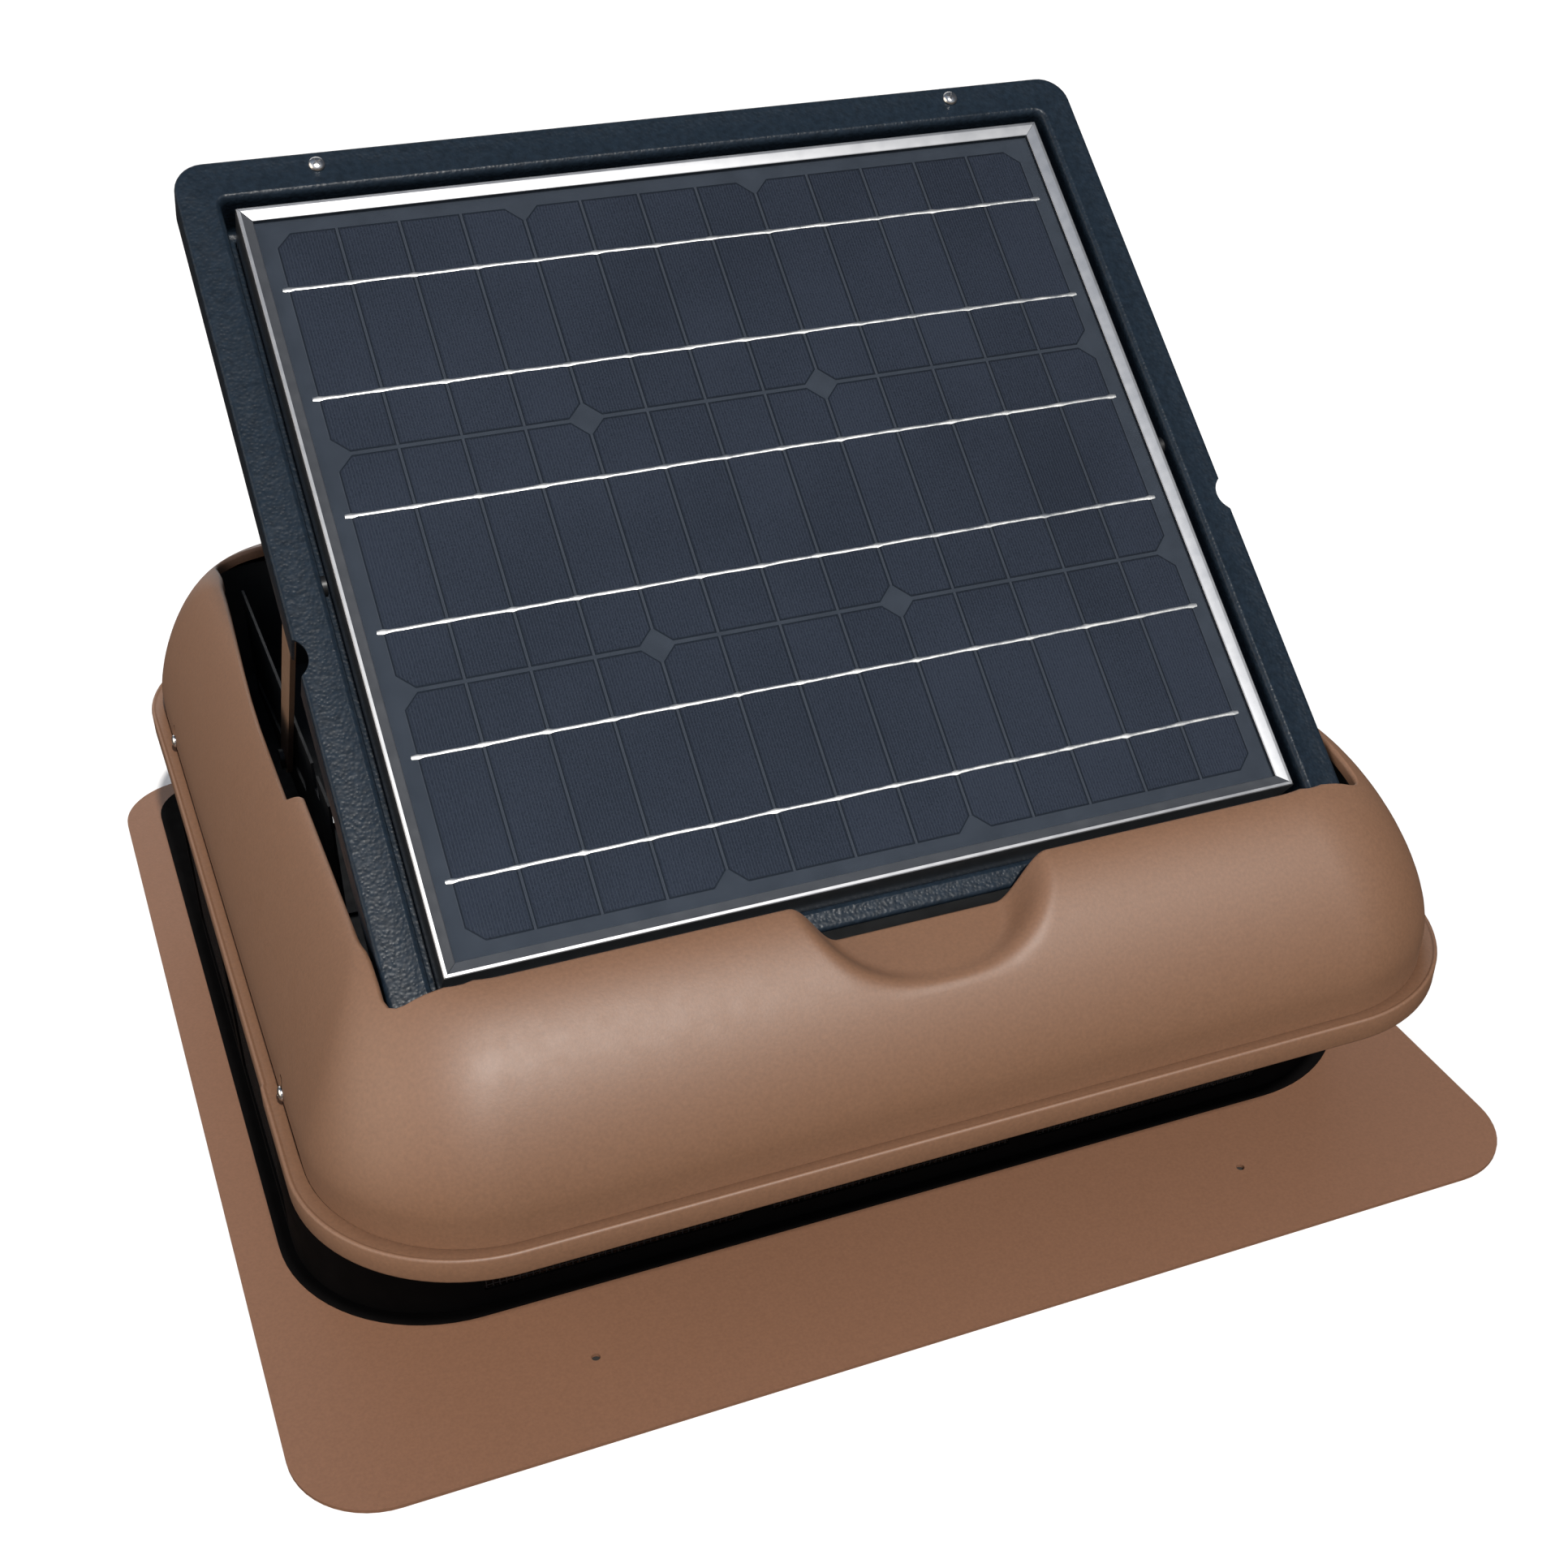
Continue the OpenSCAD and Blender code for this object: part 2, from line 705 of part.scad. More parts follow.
module motor_spider() {
    arm_l = throat_r - tab_t / 2;
    color(black) difference() {
        union() {
            slab(motor_top_z, spider_t) circle(spider_r);
            intersection() {
                for (a = [45, 135])
                    rotate([0, 0, a]) translate([0, 0, motor_top_z + spider_t / 2])
                        cube([2 * arm_l, arm_w, spider_t], center = true);
                cylinder(r = throat_r, h = tall);
            }
            intersection() {
                for (a = [45:90:315])
                    rotate([0, 0, a])
                        box_between([throat_r - 2 * tab_t, -arm_w / 2, motor_top_z],
                                    [throat_r + tab_t, arm_w / 2, motor_top_z + tab_h]);
                difference() {
                    cylinder(r = throat_r, h = 2 * tall);
                    translate([0, 0, -eps]) cylinder(r = throat_r - tab_t, h = 2 * tall + 2 * eps);
                }
            }
        }
        cylinder(r = spider_hole_r, h = tall);
        for (a = [0:90:270])
            rotate([0, 0, a]) translate([motor_screw_at, 0, 0]) cylinder(r = motor_screw_r, h = tall);
        for (a = [45:90:315])
            rotate([0, 0, a]) rod_x(throat_r - tall, throat_r + eps, 0, spider_bolt_z, spider_bolt_r);
    }
}

module spider_bolts() {
    bolt_in = throat_r - tab_t - 2 * bolt_head_h;
    bolt_out = throat_r + ring_t;
    color(steel) for (a = [45:90:315])
        rotate([0, 0, a]) {
            rod_x(bolt_in, bolt_out, 0, spider_bolt_z, spider_bolt_r);
            rod_x(bolt_out, bolt_out + bolt_head_h, 0, spider_bolt_z, rivet_head_r);
            rod_x(bolt_in, bolt_in + 2 * bolt_head_h - eps, 0, spider_bolt_z, rivet_head_r, $fn = 6);
        }
}

module motor_screws() {
    color(steel) for (a = [0:90:270])
        rotate([0, 0, a]) translate([motor_screw_at, 0, motor_top_z - spider_t]) {
            cylinder(r = motor_screw_r, h = 2 * spider_t);
            translate([0, 0, 2 * spider_t]) cylinder(r = hood_screw_head_r, h = bolt_head_h);
        }
}

module motor_housing() {
    color(black) difference() {
        slab(cap_top_z, motor_top_z - cap_top_z) circle(motor_r);
        slab(cap_top_z - eps, motor_top_z - motor_top_t - cap_top_z + eps) circle(motor_r - motor_wall);
        cylinder(r = bearing_r, h = tall);
        for (a = [0:90:270])
            rotate([0, 0, a]) translate([motor_screw_at, 0, motor_top_z - spider_t])
                cylinder(r = motor_screw_r, h = tall);
        rod_x(motor_r - 2 * motor_wall, motor_r + eps, 0, stator_z + stator_h / 2, grommet_bore_r);
    }
}

module motor_end_cap() {
    color(black) difference() {
        slab(motor_z, cap_top_z - motor_z) circle(motor_r);
        translate([0, 0, cap_top_z - bearing_h]) cylinder(r = bearing_r, h = tall);
    }
}

module motor_stator() {
    color(copper) slab(stator_z, stator_h) difference() {
        circle(motor_r - motor_wall);
        circle(stator_in_r);
    }
}

module motor_bearings() {
    color(steel) for (z = [cap_top_z - bearing_h, motor_top_z - bearing_h])
        slab(z, bearing_h) difference() {
            circle(bearing_r);
            circle(shaft_r + run_fit);
        }
}

module motor_gland() {
    mid_z = stator_z + stator_h / 2;
    color(black) difference() {
        union() {
            rod_x(motor_r - motor_wall, motor_r + motor_wall, 0, mid_z, grommet_bore_r);
            rod_x(motor_r, motor_r + motor_wall, 0, mid_z, grommet_r);
            rod_x(motor_r, motor_r + 4 * motor_wall, 0, mid_z, grommet_bore_r + 1);
        }
        rod_x(motor_r - 2 * motor_wall, motor_r + 5 * motor_wall, 0, mid_z, grommet_bore_r / 2);
    }
}

module thermal_switch() {
    color(black) translate([switch_x, 0, flashing_t + switch_size[2] / 2]) cube(switch_size, center = true);
}

module motor_shaft() {
    color(steel) slab(cap_top_z - bearing_h + eps, hub_z + hub_h - cap_top_z + 2 * bearing_h) circle(shaft_r);
}

module motor_magnet() {
    color(steel) slab(stator_z, stator_h) difference() {
        circle(magnet_r);
        circle(shaft_r);
    }
}

module fan_hub() {
    color(black) difference() {
        union() {
            slab(hub_z, hub_h) circle(hub_r);
            slab(hub_z, hub_lip_h) circle(hub_r + collar_t);
        }
        difference() {
            slab(hub_z - eps, hub_h - hub_wall + eps) circle(hub_r - hub_wall);
            cylinder(r = boss_r, h = 2 * tall);
        }
        cylinder(r = shaft_r, h = 2 * tall);
    }
}

// Cambered section of one blade, lying along Y with its crown up
module blade_section() {
    intersection() {
        translate([0, -blade_arc_r]) difference() {
            circle(blade_arc_r + blade_t / 2);
            circle(blade_arc_r - blade_t / 2);
        }
        square([blade_chord, blade_chord], center = true);
    }
}

module fan_blades() {
    color(black) {
        slab(hub_z + hub_lip_h, collar_h) difference() {
            circle(hub_r + hub_fit + collar_t);
            circle(hub_r + hub_fit);
        }
        difference() {
            intersection() {
                for (i = [0:blade_count - 1])
                    rotate([0, 0, i * 360 / blade_count]) translate([0, 0, blade_mid_z])
                        rotate([blade_pitch, 0, 0]) rotate([90, 0, 90])
                            linear_extrude(blade_tip_r + tall) blade_section();
                cylinder(r = blade_tip_r, h = 2 * tall);
            }
            cylinder(r = hub_r + hub_fit + collar_t / 2, h = 2 * tall);
            cylinder(r = hub_r + collar_t + root_gap, h = hub_z + hub_lip_h);
        }
    }
}

module fan_nut() {
    color(steel) slab(hub_z + hub_h, bearing_h) difference() {
        circle(2 * shaft_r - eps, $fn = 6);
        circle(shaft_r);
    }
}

// ---------- tray and solar module ----------

module tray_outline(inset) {
    hw = tray_w / 2 - inset;
    r_back = tray_r_back - inset;
    r_front = tray_r_front - inset;
    far = tray_l - inset;
    for (x = [-1, 1]) {
        translate([x * (hw - r_back), far - r_back]) circle(r_back);
        translate([x * (hw - r_front), inset + r_front]) circle(r_front);
    }
    translate([-hw, inset + r_front]) square([2 * hw, far - r_back - inset - r_front]);
    translate([-hw + r_front, inset]) square([2 * (hw - r_front), r_front]);
    translate([-hw + r_back, far - r_back]) square([2 * (hw - r_back), r_back]);
}

module recess_outline(grow) {
    translate([0, (recess_y[0] + recess_y[1]) / 2])
        rounded(2 * (recess_hw + grow), recess_y[1] - recess_y[0] + 2 * grow, recess_r + grow);
}

module tray() {
    color(black) on_tray() difference() {
        union() {
            slab(-sheet_t, sheet_t) tray_outline(0);
            slab(tray_bottom, -tray_bottom) recess_outline(sheet_t);
            slab(-skirt_depth, skirt_depth) difference() {
                tray_outline(0);
                tray_outline(sheet_t);
                translate([-tray_w, -tray_l + skirt_start]) square([2 * tray_w, tray_l]);
            }
            box_between([tray_r_front - tray_w / 2, 0, -front_lip], [tray_w / 2 - tray_r_front, sheet_t, 0]);
        }
        slab(-recess_depth, recess_depth + eps) recess_outline(0);
        both_sides() {
            rod_x(recess_hw - eps, recess_out_x + eps, hinge_v + strut_l, hinge_n, bolt_r);
            translate([tray_screw_at[0], tray_screw_at[1], -tall]) cylinder(r = hood_screw_r, h = 2 * tall);
            for (y = [-1, 1])
                translate([module_screw_at[0], module_y + y * module_screw_at[1], tray_bottom - eps])
                    cylinder(r = hood_screw_r, h = recess_depth / 2);
        }
        translate([-notch_at[0], notch_at[1], -tall]) cylinder(r = notch_r, h = 2 * tall);
        translate([tray_grommet_at[0], tray_grommet_at[1], tray_bottom - eps])
            cylinder(r = grommet_r, h = recess_depth / 2);
    }
}

module tray_grommet() {
    color(black) on_tray() translate([tray_grommet_at[0], tray_grommet_at[1], tray_bottom])
        grommet(grommet_bore_r, grommet_r, grommet_rim_r, grommet_rim_h, sheet_t);
}

module hinge_moving_leaves() {
    color(steel) on_tray() for (x = [-hinge_x, hinge_x])
        translate([x, 0, 0]) difference() {
            union() {
                rod_x(-moving_half_l, moving_half_l, hinge_v, hinge_n, knuckle_r);
                box_between([-moving_half_l, hinge_v, hinge_n - leaf_t],
                            [moving_half_l, recess_out_y, hinge_n + leaf_t]);
                box_between([-moving_half_l, recess_out_y - leaf_t, -leaf_low],
                            [moving_half_l, recess_out_y, hinge_n + leaf_t]);
                box_between([-hinge_half_l, recess_out_y - leaf_t, -leaf_low],
                            [hinge_half_l, recess_out_y, hinge_n - knuckle_r - eps]);
            }
            rod_x(-moving_half_l - eps, moving_half_l + eps, hinge_v, hinge_n, pin_r + run_fit);
        }
}

module rest_bumpers() {
    color(black) on_tray() for (x = [-bumper_at[0], bumper_at[0]])
        translate([x, bumper_at[1], tray_bottom - bumper_h]) cylinder(r = bumper_r, h = bumper_h);
}

module panel_frame() {
    inner_w = module_w - 2 * frame_wall;
    inner_l = module_l - 2 * frame_wall;
    color(steel) on_tray() translate([0, module_y, 0]) difference() {
        slab(frame_bottom_n, frame_h) square([module_w, module_l], center = true);
        slab(backsheet_n, glass_n + glass_t - backsheet_n) square([inner_w, inner_l], center = true);
        slab(frame_bottom_n + rim_t, backsheet_n - rim_t - frame_bottom_n - rim_t)
            square([inner_w, inner_l], center = true);
        slab(backsheet_n - tall, 2 * tall)
            square([module_w - 2 * rim_w, module_l - 2 * rim_w], center = true);
        slab(frame_bottom_n - eps, rim_t + 2 * eps)
            square([module_w - 2 * bottom_rim_w, module_l - 2 * rim_w], center = true);
        both_sides() for (y = [-1, 1])
            translate([module_screw_at[0], y * module_screw_at[1], frame_bottom_n - eps])
                cylinder(r = hood_screw_r, h = recess_depth / 2);
    }
}

module laminate_outline() {
    translate([0, module_y])
        square([module_w - 2 * frame_wall - 2 * laminate_gap, module_l - 2 * frame_wall - 2 * laminate_gap],
               center = true);
}

module panel_glass() {
    color(blue_black) on_tray() slab(glass_n, glass_t) laminate_outline();
}

module panel_backsheet() {
    color(blue_black) on_tray() slab(backsheet_n, backsheet_t) laminate_outline();
}

// Rows of cell strips; the corners of the wafers they were cut from are bevelled
module solar_cells() {
    first_x = -strips_across * strip_pitch / 2;
    color(blue_black) on_tray() slab(cell_n, cell_t) translate([first_x, module_y]) difference() {
        for (i = [0:strips_across - 1], row = [-1:cell_rows - 2])
            translate([(i + 1 / 2) * strip_pitch, row * row_pitch])
                square([strip_pitch - strip_gap, row_h], center = true);
        for (edge = wafer_edges, row = [0:cell_rows])
            translate([edge * strip_pitch, (row - cell_rows / 2) * row_pitch]) rotate(45)
                square(chamfer * sqrt(2), center = true);
    }
}

module cell_ribbons() {
    color(steel) on_tray() slab(ribbon_n, ribbon_t) translate([0, module_y])
        for (row = [-1:cell_rows - 2], side = [-1, 1])
            translate([0, row * row_pitch + side * ribbon_spread / 2])
                square([ribbon_l, ribbon_w], center = true);
}

module junction_box() {
    color(black) on_tray() translate([0, jbox_y, backsheet_n - jbox[2] / 2]) difference() {
        cube(jbox, center = true);
        rod_x(-jbox[0] / 2 - eps, -jbox[0] / 2 + 2 * motor_wall, 0, 0, grommet_bore_r / 2);
    }
}

module junction_gland() {
    out_x = -jbox[0] / 2;
    mid_n = backsheet_n - jbox[2] / 2;
    color(black) on_tray() difference() {
        rod_x(out_x - 4 * motor_wall, out_x, jbox_y, mid_n, grommet_bore_r);
        rod_x(out_x - 5 * motor_wall, out_x + eps, jbox_y, mid_n, grommet_bore_r / 2);
    }
}

module tray_screws() {
    color(steel) on_tray() both_sides() translate([tray_screw_at[0], tray_screw_at[1], 0]) {
        cylinder(r = hood_screw_head_r, h = bolt_head_h / 2);
        translate([0, 0, -bumper_h]) cylinder(r = hood_screw_r, h = bumper_h);
        translate([0, 0, -sheet_t - bolt_head_h]) cylinder(r = hood_screw_head_r, h = bolt_head_h, $fn = 6);
    }
}

module module_screws() {
    color(steel) on_tray() both_sides() for (y = [-1, 1])
        translate([module_screw_at[0], module_y + y * module_screw_at[1], tray_bottom]) {
            translate([0, 0, -bolt_head_h]) cylinder(r = hood_screw_head_r, h = bolt_head_h);
            cylinder(r = hood_screw_r, h = 2 * bolt_head_h);
        }
}

// ---------- tilt struts ----------

// Shouldered bolts from the tray's side walls that carry the struts' upper ends
module strut_pivot_bolts() {
    v = hinge_v + strut_l;
    color(steel) on_tray() both_sides() {
        rod_x(recess_hw - bolt_nut_t, recess_hw, v, hinge_n, collar_r);
        rod_x(recess_hw - bolt_nut_t, strut_out + collar_gap, v, hinge_n, bolt_r);
        rod_x(recess_out_x, strut_in - collar_gap, v, hinge_n, collar_r);
        rod_x(strut_out + collar_gap, strut_out + collar_gap + bolt_head_h, v, hinge_n, bolt_head_r);
    }
}

// Drawn on the right: a flat bar from the pivot down to the foot
module strut_bar() {
    translate([strut_in, pivot_y, pivot_z]) rotate([-tilt - 2 * slot_slope, 0, 0]) rotate([90, 0, 90])
        linear_extrude(strut_t) difference() {
            union() {
                circle(strut_w / 2);
                translate([strut_l, 0]) circle(strut_w / 2);
                translate([0, -strut_w / 2]) square([strut_l, strut_w]);
            }
            circle(bolt_r + run_fit);
            translate([strut_l, 0]) circle(bolt_r);
        }
}

module foot_bolt() {
    y = foot_y(tilt);
    z = foot_z(tilt);
    rod_x(rail_x - nut_l, strut_out, y, z, bolt_r);
    rod_x(strut_out, strut_out + bolt_head_h, y, z, bolt_head_r);
    difference() {
        rod_x(rail_x + rail_t + collar_gap, strut_in, y, z, collar_r);
        rod_x(rail_x, strut_out, y, z, bolt_r);
    }
}

module clamp_nut() {
    y = foot_y(tilt);
    z = foot_z(tilt);
    difference() {
        union() {
            rod_x(rail_x - nut_l, rail_x - collar_gap, y, z, nut_r - 1);
            rod_x(rail_x - nut_l, rail_x - collar_gap - nut_l / 3, y, z, nut_r, $fn = 12);
        }
        rod_x(rail_x - nut_l - eps, rail_x + eps, y, z, bolt_r + run_fit);
    }
}

module strut_right() {
    color(brown) strut_bar();
}

module strut_left() {
    color(brown) mirror([1, 0, 0]) strut_bar();
}

module foot_bolt_right() {
    color(steel) foot_bolt();
}

module foot_bolt_left() {
    color(steel) mirror([1, 0, 0]) foot_bolt();
}

module clamp_nut_right() {
    color(steel) clamp_nut();
}

module clamp_nut_left() {
    color(steel) mirror([1, 0, 0]) clamp_nut();
}

flashing();
throat_ring();
throat_rivets();
screen_frame();
screen_mesh();
standoff_brackets();
bracket_rivets();
hood_shell();
rim_band();
hood_screws();
pocket_liner();
pocket_grommet();
tilt_rails();
rail_screws();
hinge_fixed_leaves();
hinge_pins();
bumper_rests();
motor_spider();
spider_bolts();
motor_screws();
motor_housing();
motor_end_cap();
motor_stator();
motor_bearings();
motor_gland();
thermal_switch();
motor_shaft();
motor_magnet();
fan_hub();
fan_blades();
fan_nut();
tray();
hinge_moving_leaves();
panel_frame();
panel_glass();
solar_cells();
cell_ribbons();
panel_backsheet();
junction_box();
junction_gland();
tray_grommet();
tray_screws();
rest_bumpers();
module_screws();
strut_pivot_bolts();
strut_left();
strut_right();
foot_bolt_left();
foot_bolt_right();
clamp_nut_left();
clamp_nut_right();
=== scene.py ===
"""Looks of the solar attic fan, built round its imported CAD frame.

Shapes are written in millimetres in the row frame (origin under the flashing's middle, +Z up,
hinged edge of the tray at -Y) and scaled to metres when a mesh is made. Pieces on the tray are
written in the tray's own frame: x across, y up the slope from the hinged edge, z off its face.
"""
import json
import math
import random

import bmesh
import bpy
from mathutils import Matrix, Vector


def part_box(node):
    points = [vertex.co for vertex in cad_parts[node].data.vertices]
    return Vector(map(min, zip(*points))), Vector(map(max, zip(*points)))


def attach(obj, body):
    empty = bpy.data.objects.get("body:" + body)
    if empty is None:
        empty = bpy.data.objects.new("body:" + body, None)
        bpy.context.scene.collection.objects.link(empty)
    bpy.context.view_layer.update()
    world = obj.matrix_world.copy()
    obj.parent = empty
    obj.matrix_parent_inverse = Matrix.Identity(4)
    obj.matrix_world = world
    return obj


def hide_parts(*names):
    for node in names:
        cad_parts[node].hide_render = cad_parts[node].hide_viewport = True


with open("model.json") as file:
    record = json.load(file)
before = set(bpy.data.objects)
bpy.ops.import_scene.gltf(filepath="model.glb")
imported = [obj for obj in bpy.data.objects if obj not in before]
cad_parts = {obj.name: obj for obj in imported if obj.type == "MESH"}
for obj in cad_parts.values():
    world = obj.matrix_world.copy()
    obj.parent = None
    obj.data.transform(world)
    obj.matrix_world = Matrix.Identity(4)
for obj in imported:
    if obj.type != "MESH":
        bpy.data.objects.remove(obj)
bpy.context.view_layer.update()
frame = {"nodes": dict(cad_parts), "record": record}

MM = 0.001
random.seed(7)


# ---------------------------------------------------------------- sizes taken from the CAD frame

def box_mm(node):
    lo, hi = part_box(node)
    return lo / MM, hi / MM


joint = {j["name"]: j for j in frame["record"]["behaviour"]["joints"]}
HINGE = Vector(joint["panel_tilt"]["pos_m"]) / MM
TILT = math.radians(-joint["panel_tilt"]["range_deg"][0])
BAND_LO, BAND_HI = box_mm("rim_band")
HOOD_TOP = box_mm("hood_shell")[1].z

# The hinge axis in the tray's own frame, and what turns y and z along the slope into v
HINGE_V, HINGE_N = 5.5, -10.5
V_AT_ORIGIN = HINGE_V - HINGE.y * math.cos(TILT) - HINGE.z * math.sin(TILT)
ON_TRAY = (Matrix.Translation(HINGE * MM) @ Matrix.Rotation(TILT, 4, "X")
           @ Matrix.Translation(Vector((0, -HINGE_V, -HINGE_N)) * MM))

# Hood: its foot and its opening, joined by a shoulder that is steep at the sides and round in front
HOOD_W, HOOD_D = 588.0, 604.0
HOOD_R_LOW, HOOD_R_TOP = 82.0, 54.0
OPEN_X, OPEN_Y, OPEN_R = 250.0, 236.0, 8.0
LAND = 2.0
SHOULDER_Z = 127.0
SIDE_POWER, FRONT_POWER = 1.27, 1.6
RELIEF_X = 259.0
RELIEF_START, RELIEF_END = (-60, -47), (20, 190)
DISH_X, DISH_Y, DISH_HALF_W, DISH_HALF_D = 2, -236, 66, 56
DISH_FLOOR_Z, DISH_SLOPE, DISH_CORE = 184, 0.14, 0.62
HOOD_SHEET = 1.2
SCREW_Y, SLOT_MID_Z, SLOT_HALF_H, SLOT_R = 174, 124.5, 4.2, 2.9

# Tray and module, in the tray's own frame
TRAY_HW, TRAY_L = 246.4, 452.0
NOTCH_X, NOTCH_V, NOTCH_R = 252, 182.5, 11
RECESS_HW, RECESS_Y0, RECESS_Y1 = 226.0, 11.8, 429.4
MODULE_HW, MODULE_Y0, MODULE_Y1 = 220.0, 17.8, 423.4
STRIP_X0, STRIP_PITCH = -205.075, 31.55
ROW_V0, ROW_PITCH = 31.3, 126.2
WAFER_STRIPS = (0, 4, 8, 13)


# ---------------------------------------------------------------- materials

def nodes_of(name):
    m = bpy.data.materials.new(name)
    m.use_nodes = True
    tree = m.node_tree
    tree.nodes.clear()
    out = tree.nodes.new("ShaderNodeOutputMaterial")
    shader = tree.nodes.new("ShaderNodeBsdfPrincipled")
    tree.links.new(shader.outputs[0], out.inputs[0])
    return m, tree, shader


def coords(tree, scale=(1, 1, 1), rotation=(0, 0, 0)):
    tc = tree.nodes.new("ShaderNodeTexCoord")
    mp = tree.nodes.new("ShaderNodeMapping")
    mp.inputs["Scale"].default_value = scale
    mp.inputs["Rotation"].default_value = rotation
    tree.links.new(tc.outputs["Object"], mp.inputs["Vector"])
    return mp.outputs["Vector"]


def noise(tree, vector, scale, detail=3.0):
    n = tree.nodes.new("ShaderNodeTexNoise")
    n.inputs["Scale"].default_value = scale
    n.inputs["Detail"].default_value = detail
    n.inputs["Roughness"].default_value = 0.55
    tree.links.new(vector, n.inputs["Vector"])
    return n.outputs["Fac"]


def lumps(tree, vector, scale):
    v = tree.nodes.new("ShaderNodeTexVoronoi")
    v.feature = "SMOOTH_F1"
    v.inputs["Scale"].default_value = scale
    tree.links.new(vector, v.inputs["Vector"])
    return v.outputs["Distance"]


def remap(tree, value, a, b, low, high):
    r = tree.nodes.new("ShaderNodeMapRange")
    for k, x in zip(("From Min", "From Max", "To Min", "To Max"), (a, b, low, high)):
        r.inputs[k].default_value = x
    tree.links.new(value, r.inputs["Value"])
    return r.outputs["Result"]


def math_node(tree, operation, *values):
    n = tree.nodes.new("ShaderNodeMath")
    n.operation = operation
    for socket, value in zip(n.inputs, values):
        if isinstance(value, bpy.types.NodeSocket):
            tree.links.new(value, socket)
        else:
            socket.default_value = value
    return n.outputs[0]


def blend_colors(tree, value, dark, light):
    mix = tree.nodes.new("ShaderNodeMix")
    mix.data_type = "RGBA"
    mix.inputs["A"].default_value = (*dark, 1)
    mix.inputs["B"].default_value = (*light, 1)
    tree.links.new(value, mix.inputs["Factor"])
    return mix.outputs["Result"]


def paint_over(tree, below, value, color):
    mix = tree.nodes.new("ShaderNodeMix")
    mix.data_type = "RGBA"
    mix.inputs["B"].default_value = (*color, 1)
    tree.links.new(below, mix.inputs["A"])
    tree.links.new(value, mix.inputs["Factor"])
    return mix.outputs["Result"]


def bump(tree, height, distance, strength, normal=None):
    b = tree.nodes.new("ShaderNodeBump")
    b.inputs["Distance"].default_value = distance * MM
    b.inputs["Strength"].default_value = strength
    tree.links.new(height, b.inputs["Height"])
    if normal is not None:
        tree.links.new(normal, b.inputs["Normal"])
    return b.outputs["Normal"]


def finish(name, color, rough, metallic=0.0, mottle=0.08, mottle_scale=30.0, grain=900.0,
           grain_mm=0.05, grain_strength=0.3, stretch=(1, 1, 1), hammer=0.0, hammer_scale=300.0,
           rough_spread=0.06, specular=0.5):
    """A paint, metal, rubber or plastic: mottled colour, uneven gloss and a fine surface."""
    m, tree, shader = nodes_of(name)
    at = coords(tree, stretch)
    dark = [c * (1 - mottle) for c in color]
    light = [min(1.0, c * (1 + mottle)) for c in color]
    patches = remap(tree, noise(tree, at, mottle_scale, 4.0), 0.3, 0.7, 0, 1)
    tree.links.new(blend_colors(tree, patches, dark, light), shader.inputs["Base Color"])
    gloss = remap(tree, noise(tree, at, grain * 0.12, 3.0), 0.3, 0.7,
                  max(0.02, rough - rough_spread), min(1, rough + rough_spread))
    tree.links.new(gloss, shader.inputs["Roughness"])
    normal = bump(tree, noise(tree, at, grain, 2.0), grain_mm, grain_strength)
    if hammer:
        normal = bump(tree, lumps(tree, at, hammer_scale), 0.5, hammer, normal)
    tree.links.new(normal, shader.inputs["Normal"])
    shader.inputs["Metallic"].default_value = metallic
    shader.inputs["Specular IOR Level"].default_value = specular
    return m


BROWN = finish("brown_powder_coat", (0.172, 0.086, 0.046), 0.54, mottle=0.1, mottle_scale=600,
               grain=900, grain_mm=0.09, grain_strength=0.45, rough_spread=0.02, specular=0.75)
BROWN_FLAT = finish("brown_flashing_coat", (0.182, 0.09, 0.052), 0.55, mottle=0.08,
                    mottle_scale=650, grain=900, grain_mm=0.07, grain_strength=0.3,
                    rough_spread=0.02, specular=0.45)
BROWN_BAR = finish("brown_strut_coat", (0.25, 0.15, 0.095), 0.4, mottle=0.07, mottle_scale=40)
HAMMERED = finish("black_hammered_coat", (0.009, 0.0155, 0.024), 0.38, mottle=0.25,
                  mottle_scale=300, grain=900, grain_mm=0.1, grain_strength=0.3, hammer=0.42,
                  hammer_scale=600, rough_spread=0.05, specular=0.17)
BLACK = finish("black_satin_coat", (0.006, 0.0065, 0.0075), 0.45, mottle=0.2, mottle_scale=40,
               grain=900, grain_mm=0.1, grain_strength=0.3)
# Painted shadow: near-black matt that stands in for the hood's shadow under its lip
PAINTED_SHADOW_BLACK = finish("black_matt_painted_shadow", (0.003, 0.0026, 0.0026), 0.9, mottle=0.2, mottle_scale=60,
                specular=0.05)
LINER = finish("black_liner_coat", (0.03, 0.03, 0.03), 0.6, mottle=0.2, mottle_scale=60,
               specular=0.3)
BLACK_MESH = finish("black_mesh_coat", (0.004, 0.004, 0.005), 0.6, mottle=0.2, mottle_scale=80)
ALUMINIUM = finish("brushed_aluminium", (0.4, 0.405, 0.415), 0.38, 1.0, mottle=0.03,
                   mottle_scale=20, grain=1200, grain_mm=0.01, grain_strength=0.1,
                   rough_spread=0.02)
STEEL = finish("bright_steel", (0.62, 0.61, 0.6), 0.24, 1.0, mottle=0.08, mottle_scale=120,
               grain=1500, grain_mm=0.03, grain_strength=0.25)
ZINC = finish("zinc_plate", (0.5, 0.51, 0.53), 0.38, 1.0, mottle=0.22, mottle_scale=90,
              grain=800, grain_mm=0.04, grain_strength=0.25)
COPPER = finish("copper_winding", (0.55, 0.22, 0.1), 0.35, 1.0, mottle=0.15, mottle_scale=200,
                grain=1800, grain_mm=0.2, grain_strength=0.6, stretch=(1, 1, 0.15))
IRON = finish("magnet_iron", (0.09, 0.09, 0.1), 0.5, 0.8, mottle=0.2, mottle_scale=90)
RUBBER = finish("black_rubber", (0.012, 0.012, 0.012), 0.75, mottle=0.2, mottle_scale=150,
                grain=1300, grain_mm=0.08, grain_strength=0.4)
